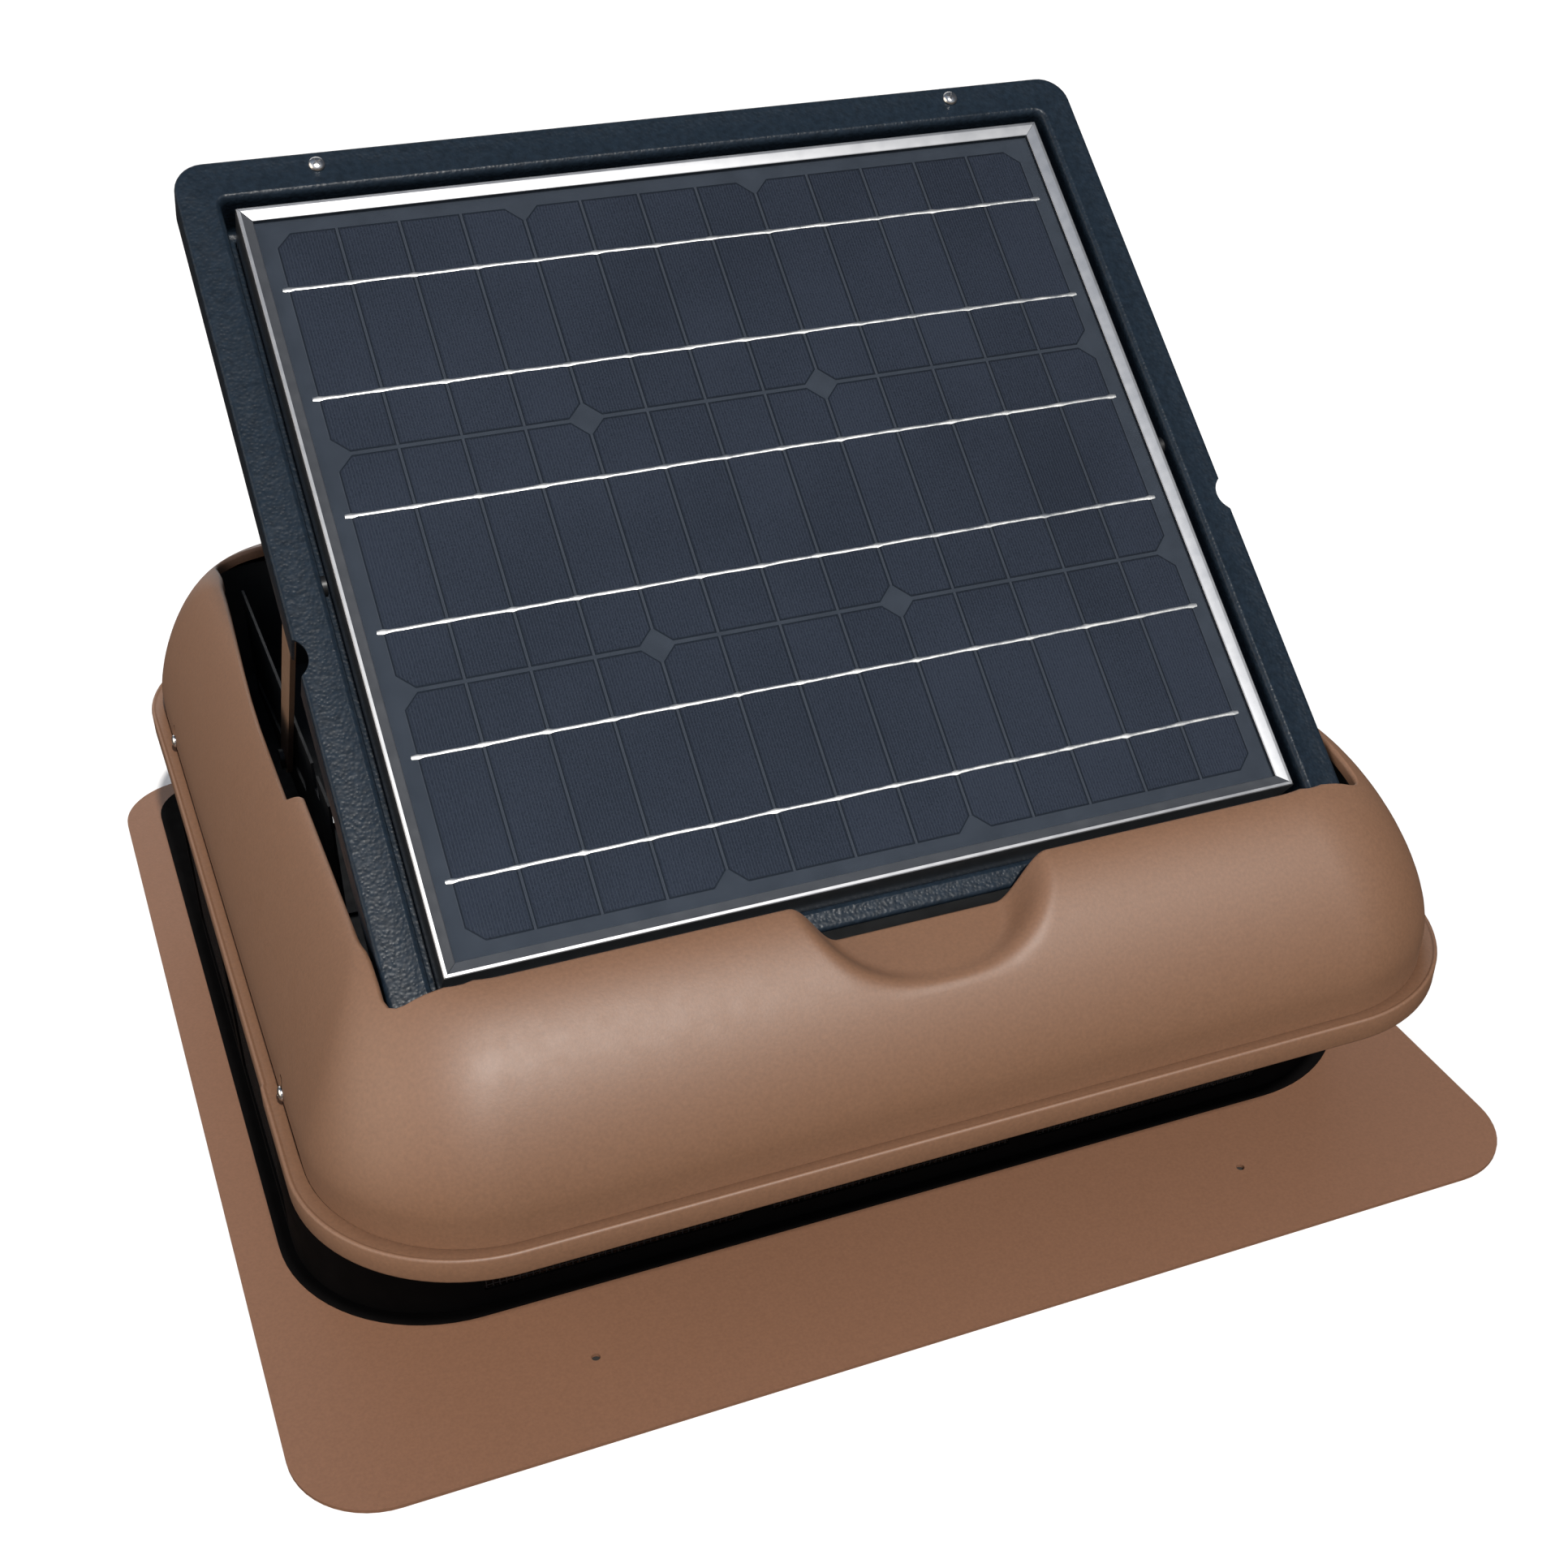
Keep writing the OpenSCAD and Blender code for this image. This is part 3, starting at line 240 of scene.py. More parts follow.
PLASTIC = finish("black_moulded_plastic", (0.013, 0.013, 0.014), 0.42, mottle=0.15,
                 mottle_scale=50, grain=1600, grain_mm=0.05, grain_strength=0.35)
TIN = finish("tinned_ribbon", (0.85, 0.85, 0.83), 0.38, 1.0, mottle=0.05, mottle_scale=300,
             grain=1100, grain_mm=0.12, grain_strength=0.5, rough_spread=0.1)
BACKSHEET = finish("dark_backsheet", (0.042, 0.051, 0.066), 0.6, mottle=0.12, mottle_scale=60,
                   grain=1400, grain_mm=0.05, grain_strength=0.3, specular=0.0)


def silicon():
    """Dark cells: fine silver fingers up the slope, a tone that changes from strip to strip, light
    strip edges, and wafer outlines with clipped corners darkened by painted shade."""
    m, tree, shader = nodes_of("silicon_cells")
    at = coords(tree, rotation=(-TILT, 0, 0))
    split = tree.nodes.new("ShaderNodeSeparateXYZ")
    tree.links.new(at, split.inputs[0])

    def maths(operation, *values):
        return math_node(tree, operation, *values)

    def ramp(value, a, b, low, high):
        return remap(tree, value, a, b, low, high)

    def from_line(axis, first, pitch):
        """Distance to the nearest of a row of evenly spaced lines."""
        share = maths("DIVIDE", maths("SUBTRACT", split.outputs[axis], first * MM), pitch * MM)
        return maths("MULTIPLY", maths("PINGPONG", share, 0.5), pitch * MM)

    fingers = tree.nodes.new("ShaderNodeTexWave")
    fingers.bands_direction = "X"
    fingers.inputs["Scale"].default_value = 200.0
    fingers.inputs["Distortion"].default_value = 0.0
    tree.links.new(at, fingers.inputs["Vector"])
    strip = maths("FLOOR", maths("MULTIPLY_ADD", split.outputs["X"], 1 / (STRIP_PITCH * MM), 13.5))
    tone = tree.nodes.new("ShaderNodeTexWhiteNoise")
    tone.noise_dimensions = "1D"
    tree.links.new(strip, tone.inputs["W"])
    cloud = ramp(noise(tree, at, 9.0, 3.0), 0.3, 0.7, 0.0, 0.65)
    amount = maths("MULTIPLY_ADD", tone.outputs["Value"], 0.35, cloud)
    speckle = maths("ADD", amount, ramp(noise(tree, at, 1100.0, 2.0), 0.3, 0.7, -0.6, 0.6))
    color = blend_colors(tree, speckle, (0.013, 0.017, 0.027), (0.026, 0.033, 0.051))
    color = paint_over(tree, color, ramp(fingers.outputs["Fac"], 0.82, 1.0, 0.0, 0.35),
                       (0.075, 0.085, 0.11))

    across = from_line("X", STRIP_X0, STRIP_PITCH)
    up_slope = from_line("Y", ROW_V0 - V_AT_ORIGIN, ROW_PITCH)
    wafer = None
    for strips in WAFER_STRIPS:
        near = maths("ABSOLUTE", maths("SUBTRACT", split.outputs["X"],
                                       (STRIP_X0 + strips * STRIP_PITCH) * MM))
        wafer = near if wafer is None else maths("MINIMUM", wafer, near)
    corner = maths("SUBTRACT", maths("ADD", wafer, up_slope), 9.6 * MM)
    edge = maths("MINIMUM", maths("MINIMUM", maths("SUBTRACT", across, 0.6 * MM),
                                  maths("SUBTRACT", up_slope, 1.0 * MM)), corner)
    color = paint_over(tree, color, ramp(across, 0.4 * MM, 0.8 * MM, 0.6, 0.0), (0.12, 0.135, 0.16))
    # Painted shade: the wafer outlines and row gaps are darkened as if shade falls between the
    # wafers
    painted_wafer_edge_shade = maths("MULTIPLY", ramp(across, 0.4 * MM, 0.7 * MM, 0.0, 1.0),
                          ramp(edge, 0.6 * MM, 1.3 * MM, 0.9, 0.0))
    color = paint_over(tree, color, painted_wafer_edge_shade, (0.007, 0.009, 0.013))

    tree.links.new(color, shader.inputs["Base Color"])
    tree.links.new(bump(tree, fingers.outputs["Fac"], 0.05, 0.3), shader.inputs["Normal"])
    tree.links.new(ramp(noise(tree, at, 400.0), 0.3, 0.7, 0.5, 0.6), shader.inputs["Roughness"])
    shader.inputs["Specular IOR Level"].default_value = 0.0
    return m


def clear_glass():
    """Clear cover glass: nearly nothing of its own but a weak reflection of the sky."""
    m, tree, shader = nodes_of("solar_glass")
    at = coords(tree)
    tint = blend_colors(tree, noise(tree, at, 20.0), (0.012, 0.016, 0.02), (0.02, 0.025, 0.03))
    tree.links.new(tint, shader.inputs["Base Color"])
    tree.links.new(bump(tree, noise(tree, at, 500.0, 2.0), 0.02, 0.1), shader.inputs["Normal"])
    gloss = remap(tree, noise(tree, at, 60.0), 0.3, 0.7, 0.05, 0.1)
    tree.links.new(gloss, shader.inputs["Roughness"])
    shader.inputs["Alpha"].default_value = 0.12
    shader.inputs["IOR"].default_value = 3.2
    return m


CELLS = silicon()
GLASS = clear_glass()


# ---------------------------------------------------------------- mesh helpers

def make(name, verts, faces, mat, body, replaced=(), slot=None, sharp=35, matrix=None,
         recalc=True):
    """A mesh piece from points in millimetres, riding on a CAD body."""
    mesh = bpy.data.meshes.new(name)
    mesh.from_pydata([[c * MM for c in v] for v in verts], [], faces)
    if recalc:
        bm = bmesh.new()
        bm.from_mesh(mesh)
        bmesh.ops.remove_doubles(bm, verts=bm.verts, dist=1e-6)
        bmesh.ops.recalc_face_normals(bm, faces=bm.faces)
        bm.to_mesh(mesh)
        bm.free()
    if matrix is not None:
        mesh.transform(matrix)
    return place(name, mesh, mat, body, replaced, sharp)


def place(name, mesh, mat, body, replaced=(), sharp=35):
    mesh.materials.clear()
    mesh.materials.append(mat)
    mesh.shade_smooth()
    mesh.set_sharp_from_angle(angle=math.radians(sharp))
    obj = bpy.data.objects.new(name, mesh)
    bpy.context.collection.objects.link(obj)
    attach(obj, body)
    if replaced:
        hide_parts(*replaced)
    return obj


def bake(obj, sharp=35):
    """Applies the modifiers of a piece to its mesh."""
    dg = bpy.context.evaluated_depsgraph_get()
    dg.update()
    mesh = bpy.data.meshes.new_from_object(obj.evaluated_get(dg))
    old = obj.data
    obj.modifiers.clear()
    obj.data = mesh
    bpy.data.meshes.remove(old)
    mesh.shade_smooth()
    mesh.set_sharp_from_angle(angle=math.radians(sharp))


def loft(rows, caps=(False, False), closed_rows=False):
    """Quads between loops of the same number of points."""
    n = len(rows[0])
    verts = [p for row in rows for p in row]
    faces = []
    count = len(rows) if closed_rows else len(rows) - 1
    for i in range(count):
        a, b = i * n, ((i + 1) % len(rows)) * n
        for j in range(n):
            k = (j + 1) % n
            faces.append((a + j, a + k, b + k, b + j))
    if caps[0]:
        faces.append(tuple(range(n)))
    if caps[1]:
        faces.append(tuple(reversed(range((len(rows) - 1) * n, len(rows) * n))))
    return verts, faces


def merge(parts):
    verts, faces = [], []
    for v, f in parts:
        base = len(verts)
        verts += v
        faces += [tuple(base + i for i in face) for face in f]
    return verts, faces


def outline(hx, y0, y1, r_front, r_back, xs=(), ys=(), n=10):
    """Closed loop round a rounded rectangle: front, right, back, left. xs and ys are fixed
    stations on the straight sides, so that loops of different sizes line up."""
    points = []

    def arc(cx, cy, r, start):
        for i in range(1, n):
            a = math.radians(start + 90 * i / n)
            points.append((cx + r * math.cos(a), cy + r * math.sin(a)))

    for x in [-(hx - r_front), *xs, hx - r_front]:
        points.append((x, y0))
    arc(hx - r_front, y0 + r_front, r_front, -90)
    for y in [y0 + r_front, *ys, y1 - r_back]:
        points.append((hx, y))
    arc(hx - r_back, y1 - r_back, r_back, 0)
    for x in [hx - r_back, *reversed(xs), -(hx - r_back)]:
        points.append((x, y1))
    arc(-hx + r_back, y1 - r_back, r_back, 90)
    for y in [y1 - r_back, *reversed(ys), y0 + r_front]:
        points.append((-hx, y))
    arc(-hx + r_front, y0 + r_front, r_front, 180)
    return points


def lathe(profile, n=32, axis_matrix=Matrix.Identity(4)):
    """Solid of revolution about Z; profile runs from the axis at the bottom to the axis on top."""
    verts, faces = [], []
    for r, z in profile:
        for i in range(n):
            a = 2 * math.pi * i / n
            verts.append((r * math.cos(a), r * math.sin(a), z))
    for k in range(len(profile) - 1):
        for i in range(n):
            j = (i + 1) % n
            faces.append((k * n + i, k * n + j, (k + 1) * n + j, (k + 1) * n + i))
    faces.append(tuple(reversed(range(n))))
    faces.append(tuple(range((len(profile) - 1) * n, len(profile) * n)))
    return [tuple(axis_matrix @ Vector(v)) for v in verts], faces


def prism(lo, hi):
    x0, y0, z0 = lo
    x1, y1, z1 = hi
    v = [(x0, y0, z0), (x1, y0, z0), (x1, y1, z0), (x0, y1, z0),
         (x0, y0, z1), (x1, y0, z1), (x1, y1, z1), (x0, y1, z1)]
    f = [(0, 3, 2, 1), (4, 5, 6, 7), (0, 1, 5, 4), (1, 2, 6, 5), (2, 3, 7, 6), (3, 0, 4, 7)]
    return v, f


def cut(obj, verts, faces, sharp=35, matrix=None):
    """Takes a closed shape away from a piece."""
    mesh = bpy.data.meshes.new("cutter")
    mesh.from_pydata([[c * MM for c in v] for v in verts], [], faces)
    if matrix is not None:
        mesh.transform(matrix)
    tool = bpy.data.objects.new("cutter", mesh)
    bpy.context.collection.objects.link(tool)
    mod = obj.modifiers.new("cut", "BOOLEAN")
    mod.operation = "DIFFERENCE"
    mod.solver = "EXACT"
    mod.object = tool
    bake(obj, sharp)
    bpy.data.objects.remove(tool)
    bpy.data.meshes.remove(mesh)


def smoothstep(a, b, x):
    t = min(1.0, max(0.0, (x - a) / (b - a)))
    return t * t * (3 - 2 * t)


# ---------------------------------------------------------------- hood

def shoulder(low, high, u, power):
    return high + (low - high) * max(0.0, 1 - u ** power) ** (1 / power)


def in_opening(x, y):
    """How far a point lies inside the hood's opening (negative outside it)."""
    dx, dy = abs(x) - (OPEN_X - OPEN_R), abs(y) - (OPEN_Y - OPEN_R)
    if dx > 0 and dy > 0:
        return OPEN_R - math.hypot(dx, dy)
    return OPEN_R - max(dx, dy)


def scallop(x, y, z):
    """Presses a round finger dish into the front of the rim."""
    q = math.hypot((x - DISH_X) / DISH_HALF_W, (y - DISH_Y) / DISH_HALF_D)
    floor = DISH_FLOOR_Z + DISH_SLOPE * (y + OPEN_Y + LAND)
    return z + (floor - z) * (1 - smoothstep(DISH_CORE, 1.0, q)) if z > floor else z


def hood_mesh():
    """A drawn sheet: each column runs up the shoulder to the opening or to the side relief."""
    xs = [-170, -145, -120, -100, -88, *range(-80, 86, 2), 90, 102, 120, 145, 170]
    ys = [-170, -150, -130, -100, -80, -70, *range(-64, -38, 2), -32, -20, 0, 30, 60, 90, 120, 140,
          150, *range(154, 178, 3)]
    relief_share = (RELIEF_X - OPEN_X - LAND) / (HOOD_W / 2 - OPEN_X - LAND)
    side_end = (1 - relief_share ** SIDE_POWER) ** (1 / SIDE_POWER)

    def ring(u):
        r = HOOD_R_LOW + (HOOD_R_TOP - HOOD_R_LOW) * u
        hx = shoulder(HOOD_W / 2, OPEN_X + LAND, u, SIDE_POWER)
        hy = shoulder(HOOD_D / 2, OPEN_Y + LAND, u, FRONT_POWER)
        return outline(hx, -hy, hy, r, r, xs, ys, 20)

    samples = 400
    fine = [ring(i / samples) for i in range(samples + 1)]
    columns = []
    for j in range(len(fine[0])):
        top = samples
        while top > 0 and in_opening(*fine[top][j]) > 0:
            top -= 1
        end = top / samples
        x, y = fine[top][j]
        if abs(abs(x) - OPEN_X - LAND) < 0.01:
            w = smoothstep(*RELIEF_START, y) * (1 - smoothstep(*RELIEF_END, y))
            end = 1 - w * (1 - side_end)
        columns.append(end)
    steps = 34
    rows = [[(x, y, z) for x, y in ring(0)] for z in (112.9, 119, SHOULDER_Z)]
    for i in range(1, steps + 1):
        share = math.sin(math.pi / 2 * i / steps)
        loop = []
        for j, end in enumerate(columns):
            u = end * share
            k = min(samples - 1, int(u * samples))
            f = u * samples - k
            (xa, ya), (xb, yb) = fine[k][j], fine[k + 1][j]
            x, y = xa + (xb - xa) * f, ya + (yb - ya) * f
            loop.append((x, y, scallop(x, y, SHOULDER_Z + (HOOD_TOP - SHOULDER_Z) * u)))
        rows.append(loop)

    # The rim rolls over into the opening, square to its sides and fanned round its corners
    rim = rows[-1]
    for inward, drop in ((0.9, 0.25), (1.6, 0.8), (2.0, 1.8), (2.1, 6.0)):
        loop = []
        for x, y, z in rim:
            dx, dy = abs(x) - (OPEN_X - 40), abs(y) - (OPEN_Y - 40)
            if dx > 0 and dy > 0:
                way = Vector((dx ** 3, dy ** 3)).normalized()
            else:
                way = Vector((1, 0)) if dx > dy else Vector((0, 1))
            x -= math.copysign(way.x * inward, x)
            y -= math.copysign(way.y * inward, y)
            loop.append((x, y, z - drop))
        rows.append(loop)
    hood = make("hood", *loft(rows), BROWN, "base", ["hood_shell"], "brown_coat", sharp=50)
    solid = hood.modifiers.new("thickness", "SOLIDIFY")
    solid.thickness = HOOD_SHEET * MM
    solid.offset = -1
    bake(hood, 50)

    slot = []
    for i in range(24):
        a = 2 * math.pi * i / 24
        half_h = SLOT_HALF_H if math.sin(a) > 0 else -SLOT_HALF_H
        slot.append((SLOT_R * math.cos(a), half_h + SLOT_R * math.sin(a)))
    for sx in (-1, 1):
        for sy in (-1, 1):
            loops = [[(sx * x, sy * SCREW_Y + a, SLOT_MID_Z + b) for a, b in slot]
                     for x in (HOOD_W / 2 - 6, HOOD_W / 2 + 5)]
            cut(hood, *loft(loops, (True, True)), sharp=50)
    return hood


hood_mesh()


# ---------------------------------------------------------------- rim band

def rim_band():
    """A rolled band whose ends overlap on the left: the front end lies over the rear one."""
    hx, hy, r = BAND_HI.x, BAND_HI.y, 87.0
    profile = [(8.3, 112.4), (8.0, 112.8), (2.9, 113.05), (2.3, 113.3), (1.85, 113.8),
               (1.4, 114.0), (0.8, 113.9), (0.3, 113.45), (0.0, 112.7), (0.0, 102.1),
               (0.2, 101.35), (0.6, 101.05), (1.1, 101.3), (1.3, 102.2), (1.3, 111.5), (2.0, 112.1)]
    ys = [-200, -170, -158, -156.4, -155.6, -155.0, -154.4, -153.6, -152, -140, -100, -50, 0, 50,
          100, 150, 200]
    xs = [-200, -150, -100, -50, 0, 50, 100, 150, 200]
    seam, seam_end = -156.4, -155.0
    rows = []
    for inset, z in profile:
        loop = []
        corner = r - inset + 3.5 * smoothstep(3, 8, inset)
        for x, y in outline(hx - inset, -hy + inset, hy - inset, corner, corner, xs, ys, 24):
            if inset < 6.5 and x < 0 and y > -156 and abs(x) > hx - 90:
                step = smoothstep(seam, seam_end, y) * (1 - smoothstep(120, 240, y))
                x += 0.75 * step * (1 if inset < 3 else 0.4)
                loop.append((x, y, max(z - 0.3 * step, BAND_LO.z + 0.05)))
            else:
                loop.append((x, y, z))
        rows.append(loop)
    verts, faces = loft(rows, closed_rows=True)
    return make("rim_band_ring", verts, faces, BROWN, "base", ["rim_band"], "brown_coat", sharp=60)


rim_band()


# ---------------------------------------------------------------- insect screen

def screen_wires():
    """Welded wire panels behind the windows of the screen frame."""
    pitch, wire, depth = 3.4, 0.55, 0.75
    window_x, window_y, reach = 152, 77, 70
    lo, hi = box_mm("screen_mesh")
    z0, z1 = lo.z + 0.3, hi.z - 0.3
    parts = []

    def panel(mid, outside, along_x):
        """One panel: upright wires outside, level wires inside."""
        middle = outside - math.copysign(depth / 2, outside)
        inside = outside - math.copysign(depth, outside)

        def add(a0, a1, b0, b1, bottom, top):
            b0, b1 = sorted((b0, b1))
            if along_x:
                parts.append(prism((a0, b0, bottom), (a1, b1, top)))
            else:
                parts.append(prism((b0, a0, bottom), (b1, a1, top)))

        a = mid - float(reach)
        while a < mid + reach + 0.5:
            add(a - wire / 2, a + wire / 2, outside, middle, z0, z1)
            a += pitch
        z = z0 + 1.0
        while z < z1:
            add(mid - reach - 1, mid + reach + 1, middle, inside, z - wire / 2, z + wire / 2)
            z += pitch

    for mid in (-window_x, 0, window_x):
        for side in (-1, 1):
            panel(mid, side * hi.y, True)
    for mid in (-window_y, window_y):
        for side in (-1, 1):
            panel(mid, side * hi.x, False)
    verts, faces = merge(parts)
    return make("screen_wires", verts, faces, BLACK_MESH, "base", ["screen_mesh"], "black_coat",
                recalc=False)


screen_wires()


# ---------------------------------------------------------------- tray

def tray_mesh():
    """A pressed tray: recess for the module, flange, and a skirt that fades out at the hinges."""
    xs = [-180, -150, -120, -90, -60, -30, 0, 30, 60, 90, 120, 150, 180]
    ys = [30, 60, 90, 120, 150, 165, 180, 195, 210, 240, 270, 300, 330, 360, 390]
    recess_ys = [20, 21.5, 23, 24.5, 26, 28] + ys
    flange_ys = [12.5, 14, 15.5, 17, 18.5, 20] + ys
    skirt_top = -2.9

    def recess(grow, z):
        loop = outline(RECESS_HW + grow, RECESS_Y0 - grow, RECESS_Y1 + grow, 4 + grow, 4 + grow,
                       xs, recess_ys, 8)
        return [(x, y, z) for x, y in loop]

    def flange(inset, z):
        loop = outline(TRAY_HW - inset, inset, TRAY_L - inset, 8 - min(inset, 6), 16 - inset,
                       xs, flange_ys, 8)
        return [(x, y, z) for x, y in loop]

    def skirt(inset, z):
        return [(x, y, skirt_top + (z - skirt_top) * smoothstep(11.5, 19, y))
                for x, y, _ in flange(inset, z)]

    walls = [(-5, -27.0), (-2.2, -26.95), (-0.8, -26.2), (-0.1, -24.8), (0, -22), (0, -4),
             (0.15, -2.4), (0.6, -1.1), (1.3, -0.35), (2.0, 0.0), (2.6, 0.3), (3.4, 0.32),
             (4.2, 0.0)]
    edge = [(4.5, 0.0), (2.2, 0.0), (1.1, -0.2), (0.4, -0.75), (0.05, -1.7), (0.0, -2.8)]
    drop = [(0.0, -12), (0.0, -21.2), (0.3, -21.9)]
    rows = ([recess(*at) for at in walls] + [flange(*at) for at in edge]
            + [skirt(*at) for at in drop])
    verts, faces = loft(rows, (True, False))
    tray = make("tray_pan", verts, faces, HAMMERED, "panel", ["tray"], "black_coat", sharp=50,
                matrix=ON_TRAY)
    solid = tray.modifiers.new("thickness", "SOLIDIFY")
    solid.thickness = 1.2 * MM
    solid.offset = -1
    bake(tray, 50)
    for sx in (-1, 1):
        circle = []
        for i in range(36):
            a = math.pi * i / 18
            circle.append((sx * NOTCH_X + NOTCH_R * math.cos(a), NOTCH_V + NOTCH_R * math.sin(a)))
        loops = [[(x, y, z) for x, y in circle] for z in (-30, 3)]
        cut(tray, *loft(loops, (True, True)), sharp=50, matrix=ON_TRAY)
    return tray


tray_mesh()


# ---------------------------------------------------------------- solar module

def module_frame():
    """Four mitred lengths of the frame's section with a hair gap at each mitre."""
    profile = [(0, -27), (0, -0.3), (0.25, 0.25), (0.7, 0.5), (2.0, 0.5), (2.5, 0.25),
               (6.4, -1.15), (6.9, -1.45), (7.0, -1.6), (6.0, -1.7), (2.1, -1.7), (2.1, -25),
               (20, -25.2), (20, -27)]
    gap = 0.12
    hw, y0, y1 = MODULE_HW, MODULE_Y0, MODULE_Y1
    mid = (y0 + y1) / 2
    half_l = (y1 - y0) / 2
    parts = []
    for side in range(4):
        length = hw if side % 2 == 0 else half_l
        depth = half_l if side % 2 == 0 else hw
        loops = []
        for end in (-1, 1):
            loop = []
            for inset, z in profile:
                a = end * (length - inset - gap)
                b = -(depth - inset)
                x, y = (a, b)
                for _ in range(side):
                    x, y = -y, x
                loop.append((x, mid + y, z))
            loops.append(loop)
        parts.append(loft(loops, (True, True)))
    verts, faces = merge(parts)
    return make("module_frame", verts, faces, ALUMINIUM, "panel", ["panel_frame"],
                "frame_aluminium", sharp=25, matrix=ON_TRAY)


def ribbons():
    """Tinned ribbons that dip and rise a little, with a blob of solder at each strip."""
    ends = 207.4
    rows_v = [63.1, 124.8, 189.3, 251.0, 315.4, 377.1]
    lo_n, hi_n = -3.7, -3.5
    parts = []
    for v in rows_v:
        loops = []
        n = 140
        for i in range(n + 1):
            x = -ends + 2 * ends * i / n
            sway = 0.12 * math.sin(x * 0.11 + v) + random.uniform(-0.06, 0.06)
            near = abs((x - STRIP_X0 + STRIP_PITCH / 2) % STRIP_PITCH - STRIP_PITCH / 2)
            half = 0.82 + 0.55 * math.exp(-(near / 1.7) ** 2) + random.uniform(-0.05, 0.05)
            top = hi_n - 0.02 - 0.05 * random.random()
            loops.append([(x, v + sway - half, lo_n), (x, v + sway - half * 0.6, top),
                          (x, v + sway + half * 0.6, top), (x, v + sway + half, lo_n)])
        parts.append(loft(loops, (True, True)))
    verts, faces = merge(parts)
    return make("solder_ribbons", verts, faces, TIN, "panel", ["cell_ribbons"], "tinned_ribbon",
                sharp=60, matrix=ON_TRAY)


module_frame()
ribbons()


# ---------------------------------------------------------------- screws

def screw_heads(name, places, radius, height, shank_r, shank_l, mat, body, replaced, slot,
                matrix=None, nut=None):
    """Pan heads with a cross recess. Each place is a matrix with +Z out of the head."""
    parts = []
    for at in places:
        dome = [(shank_r, -shank_l), (shank_r, 0), (radius * 0.96, 0), (radius, height * 0.18),
                (radius * 0.93, height * 0.5), (radius * 0.72, height * 0.8),
                (radius * 0.4, height * 0.96), (radius * 0.1, height)]
        parts.append(lathe(dome, 32, at))
        if nut:
            ring = [(shank_r, nut[0]), (nut[2] * 0.94, nut[0]), (nut[2], nut[0] + 0.3),
                    (nut[2], nut[1] - 0.3), (nut[2] * 0.94, nut[1]), (shank_r, nut[1])]
            v, f = lathe(ring, 6, at)
            bore = [(i, (i + 1) % 6, 30 + (i + 1) % 6, 30 + i) for i in range(6)]
            parts.append((v, f[:-2] + bore))
    verts, faces = merge(parts)
    obj = make(name, verts, faces, mat, body, replaced, slot, sharp=40, matrix=matrix,
               recalc=False)
    long, thin = radius * 0.55, 0.35
    for at in places:
        for a, b in ((long, thin), (thin, long)):
            v, f = prism((-a, -b, height * 0.45), (a, b, height * 1.4))
            cut(obj, [tuple(at @ Vector(p)) for p in v], f, 40, matrix)
    return obj


def pose_at(x, y, z, rotation=Matrix.Identity(4), spin=0.0):
    return Matrix.Translation((x, y, z)) @ rotation @ Matrix.Rotation(spin, 4, "Z")


screw_heads("tray_screw_heads",
            [pose_at(-175, 444, 0, spin=0.5), pose_at(175, 444, 0, spin=1.2)],
            4.2, 2.3, 2.0, 6.0, STEEL, "panel", ["tray_screws"], "bright_steel", ON_TRAY,
            nut=(-3.6, -1.2, 3.6))
screw_heads("hood_screw_heads",
            [pose_at(sx * HOOD_W / 2, sy * SCREW_Y, 121,
                     Matrix.Rotation(sx * math.pi / 2, 4, "Y"), 0.3 + sy)
             for sx in (-1, 1) for sy in (-1, 1)],
            3.8, 2.3, 1.95, 8.0, STEEL, "base", ["hood_screws"], "bright_steel",
            nut=(-5.6, -3.2, 3.6))


# ---------------------------------------------------------------- CAD nodes that keep their shape

def keep(mat, *names, width, segments=2):
    """Gives CAD pieces their material, and broken edges of a width in millimetres."""
    for name in names:
        obj = frame["nodes"][name]
        obj.data.materials.clear()
        obj.data.materials.append(mat)
        if width:
            mod = obj.modifiers.new("edges", "BEVEL")
            mod.width = width * MM
            mod.segments = segments
            mod.limit_method = "ANGLE"
            mod.angle_limit = math.radians(50)
            mod.use_clamp_overlap = True
            mod.harden_normals = False


keep(BROWN_FLAT, "flashing", width=0.7, segments=3)
keep(BROWN_BAR, "strut_left", "strut_right", width=0.5)
# Painted shadow: the screen frame's black foot follows the hood's shadow on the flashing, and the
# black throat ring darkens the space under the hood
keep(PAINTED_SHADOW_BLACK, "throat_ring", "screen_frame", width=0.3)
keep(LINER, "pocket_liner", "tilt_rails", width=0.3)
keep(BLACK, "motor_spider", "motor_housing", "motor_end_cap", width=0.5)
keep(ZINC, "standoff_brackets", "hinge_fixed_leaves", "hinge_moving_leaves", "bumper_rests",
     width=0.3)
keep(STEEL, "throat_rivets", "bracket_rivets", "rail_screws", "spider_bolts", "motor_screws",
     "module_screws", "clamp_nut_left", "clamp_nut_right", "motor_shaft", "fan_nut", "hinge_pins",
     "motor_bearings", width=0.3)
keep(BLACK, "strut_pivot_bolts", "foot_bolt_left", "foot_bolt_right", width=0.3)
keep(RUBBER, "pocket_grommet", "tray_grommet", "rest_bumpers", width=0.5)
keep(PLASTIC, "motor_gland", "junction_gland", "thermal_switch", "junction_box", "fan_hub",
     "fan_blades", width=0.5)
keep(COPPER, "motor_stator", width=0.3)
keep(IRON, "motor_magnet", width=0.3)
keep(CELLS, "solar_cells", width=0)
keep(BACKSHEET, "panel_backsheet", width=0)
keep(GLASS, "panel_glass", width=0)


# ---------------------------------------------------------------- floor, light and camera

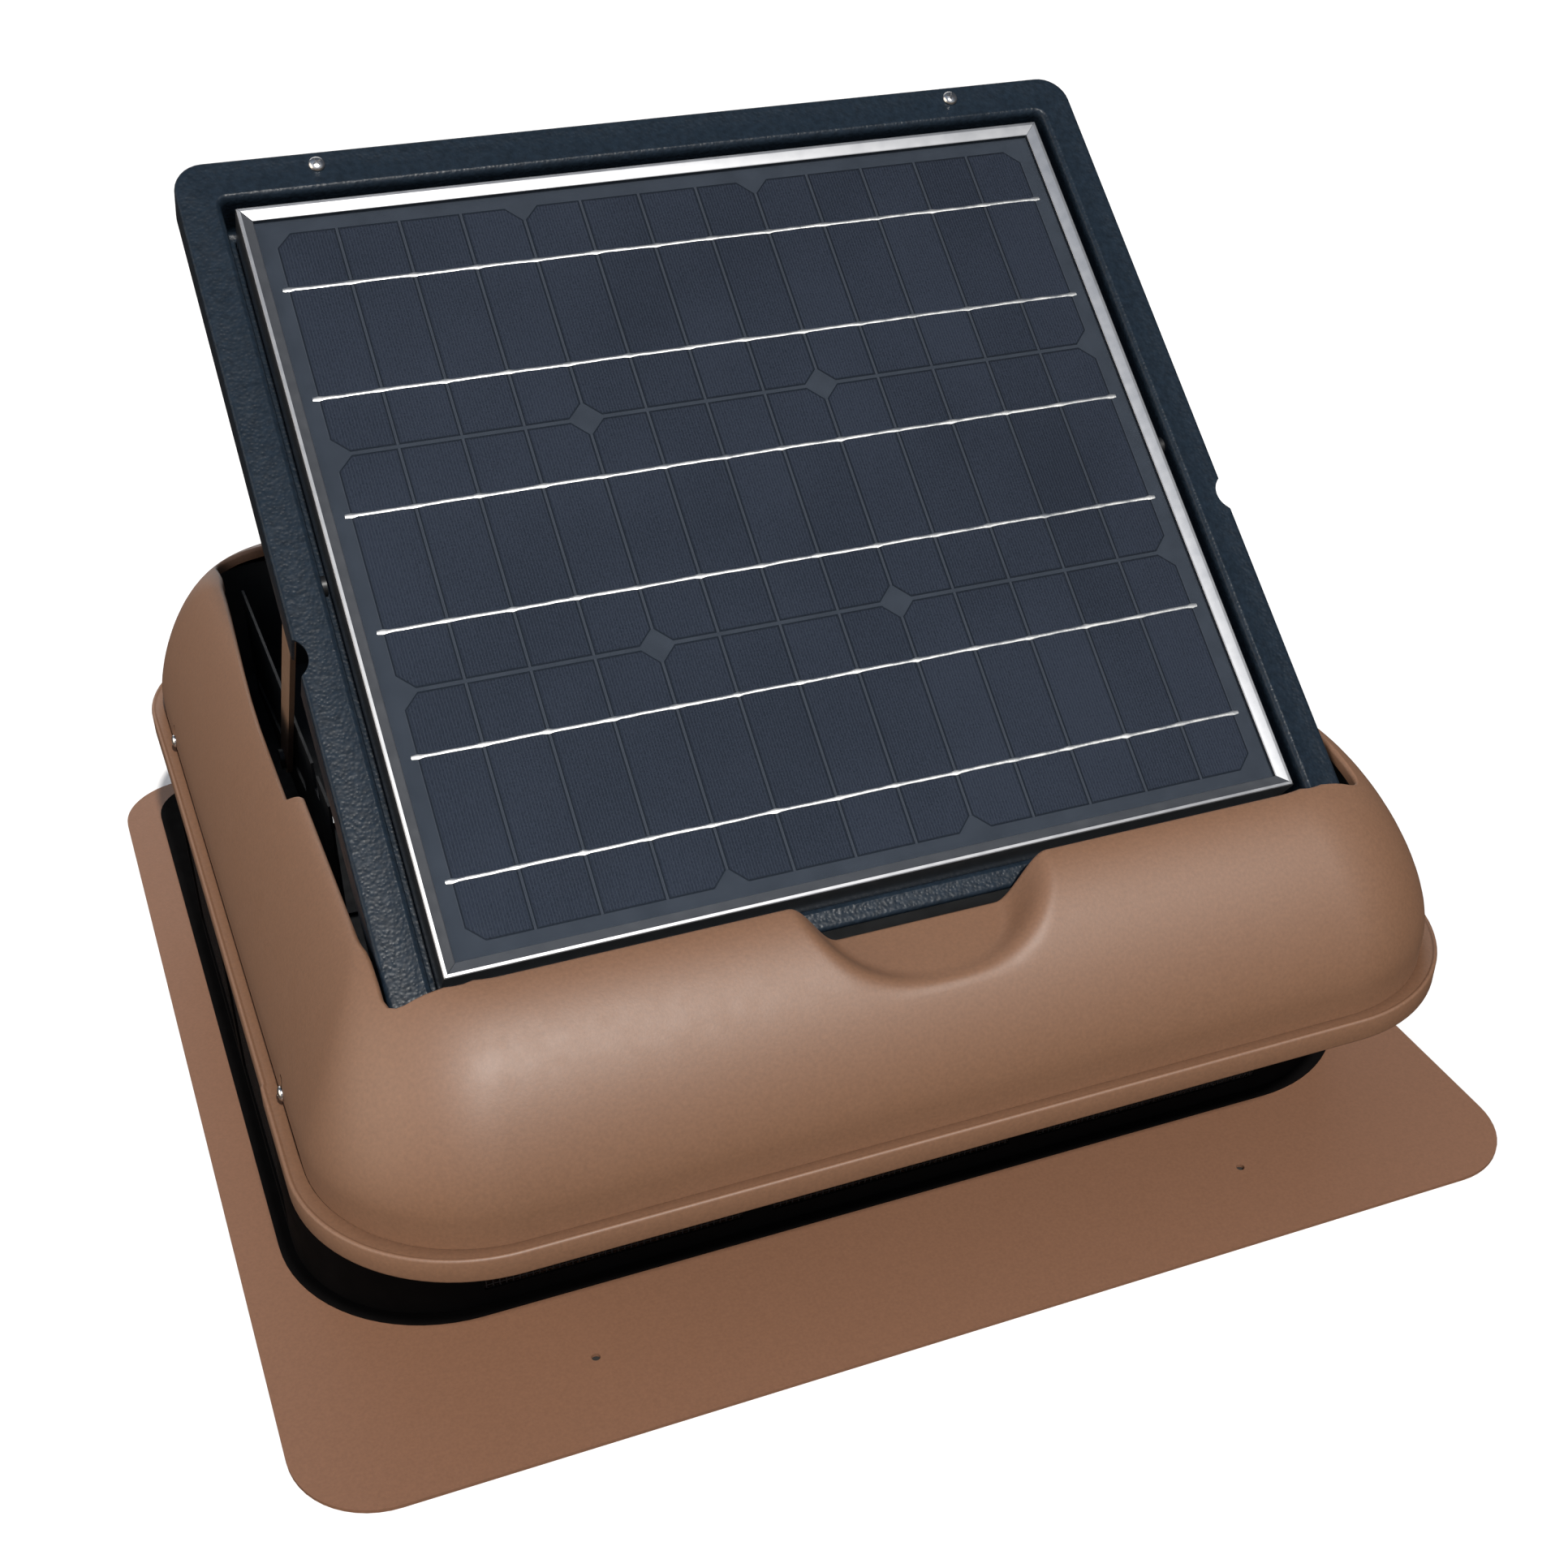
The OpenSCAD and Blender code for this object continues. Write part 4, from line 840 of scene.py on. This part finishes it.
def pale_floor():
    """White, with a painted shadow under the flashing's footprint."""
    m, tree, shader = nodes_of("pale_floor")
    at = coords(tree)
    open_floor = blend_colors(tree, noise(tree, at, 3.0), (0.87, 0.87, 0.87), (0.89, 0.89, 0.89))
    split = tree.nodes.new("ShaderNodeSeparateXYZ")
    tree.links.new(at, split.inputs[0])
    away = math_node(tree, "MAXIMUM", math_node(tree, "ABSOLUTE", split.outputs["X"]),
                     math_node(tree, "ABSOLUTE", split.outputs["Y"]))
    # Painted shadow: the floor under the flashing is darkened as if shaded by it
    color = paint_over(tree, open_floor, remap(tree, away, 0.305, 0.31, 1.0, 0.0),
                       (0.02, 0.018, 0.016))
    tree.links.new(color, shader.inputs["Base Color"])
    shader.inputs["Roughness"].default_value = 0.9
    n, radius = 64, 150000
    verts = []
    for i in range(n):
        a = 2 * math.pi * i / n
        verts.append((radius * math.cos(a) * MM, radius * math.sin(a) * MM, -0.2 * MM))
    mesh = bpy.data.meshes.new("floor")
    mesh.from_pydata(verts, [], [tuple(range(n))])
    mesh.materials.append(m)
    floor = bpy.data.objects.new("floor", mesh)
    bpy.context.collection.objects.link(floor)
    floor.visible_glossy = False
    floor.visible_diffuse = False


def soft_sky():
    """A pale sky over a brown ground, both brightest to the front left."""
    world = bpy.data.worlds.new("studio")
    bpy.context.scene.world = world
    world.use_nodes = True
    tree = world.node_tree
    tree.nodes.clear()
    out = tree.nodes.new("ShaderNodeOutputWorld")
    back = tree.nodes.new("ShaderNodeBackground")
    way = tree.nodes.new("ShaderNodeTexCoord").outputs["Generated"]
    split = tree.nodes.new("ShaderNodeSeparateXYZ")
    tree.links.new(way, split.inputs[0])
    height = remap(tree, split.outputs["Z"], 0.0, 0.9, 0.0, 1.0)
    sky = blend_colors(tree, height, (0.95, 0.96, 1.0), (0.5, 0.64, 0.88))
    below = remap(tree, split.outputs["Z"], -0.05, 0.05, 1.0, 0.0)
    color = paint_over(tree, sky, below, (0.3, 0.25, 0.21))
    facing = tree.nodes.new("ShaderNodeVectorMath")
    facing.operation = "DOT_PRODUCT"
    facing.inputs[1].default_value = (-0.62, -0.72, 0.1)
    tree.links.new(way, facing.inputs[0])
    glow = tree.nodes.new("ShaderNodeVectorMath")
    glow.operation = "SCALE"
    tree.links.new(color, glow.inputs[0])
    brightness = remap(tree, facing.outputs["Value"], -0.25, 0.5, 0.3, 1.5)
    tree.links.new(brightness, glow.inputs["Scale"])
    tree.links.new(glow.outputs[0], back.inputs["Color"])
    back.inputs["Strength"].default_value = 0.35
    tree.links.new(back.outputs[0], out.inputs[0])


def sun(name, direction, energy, spread, color=(1.0, 1.0, 1.0)):
    lamp = bpy.data.objects.new(name, bpy.data.lights.new(name, "SUN"))
    lamp.data.energy = energy
    lamp.data.angle = math.radians(spread)
    lamp.data.color = color
    lamp.rotation_mode = "QUATERNION"
    lamp.rotation_quaternion = Vector(direction).to_track_quat("-Z", "Y")
    bpy.context.collection.objects.link(lamp)


def camera():
    cam = bpy.data.objects.new("camera", bpy.data.cameras.new("camera"))
    cam.data.sensor_width = 36
    cam.data.lens = 46.49
    cam.data.shift_x = -0.0007
    cam.data.shift_y = 0.0796
    cam.data.clip_start, cam.data.clip_end = 0.05, 400
    cam.location = (-0.3439, -0.9339, 0.7413)
    cam.rotation_euler = (math.radians(90 - 35.379), 0, math.radians(-21.793))
    bpy.context.collection.objects.link(cam)
    bpy.context.scene.camera = cam


pale_floor()
soft_sky()
sun("key", (-4, 76, -99), 3.85, 2.5, (1.0, 0.965, 0.92))
sun("fill", (1, 0.1, -0.35), 1.45, 60, (1.0, 0.87, 0.72))
sun("rear_fill", (-0.1, -1, -0.3), 0.8, 60)
camera()
bpy.context.scene.view_settings.view_transform = "Standard"
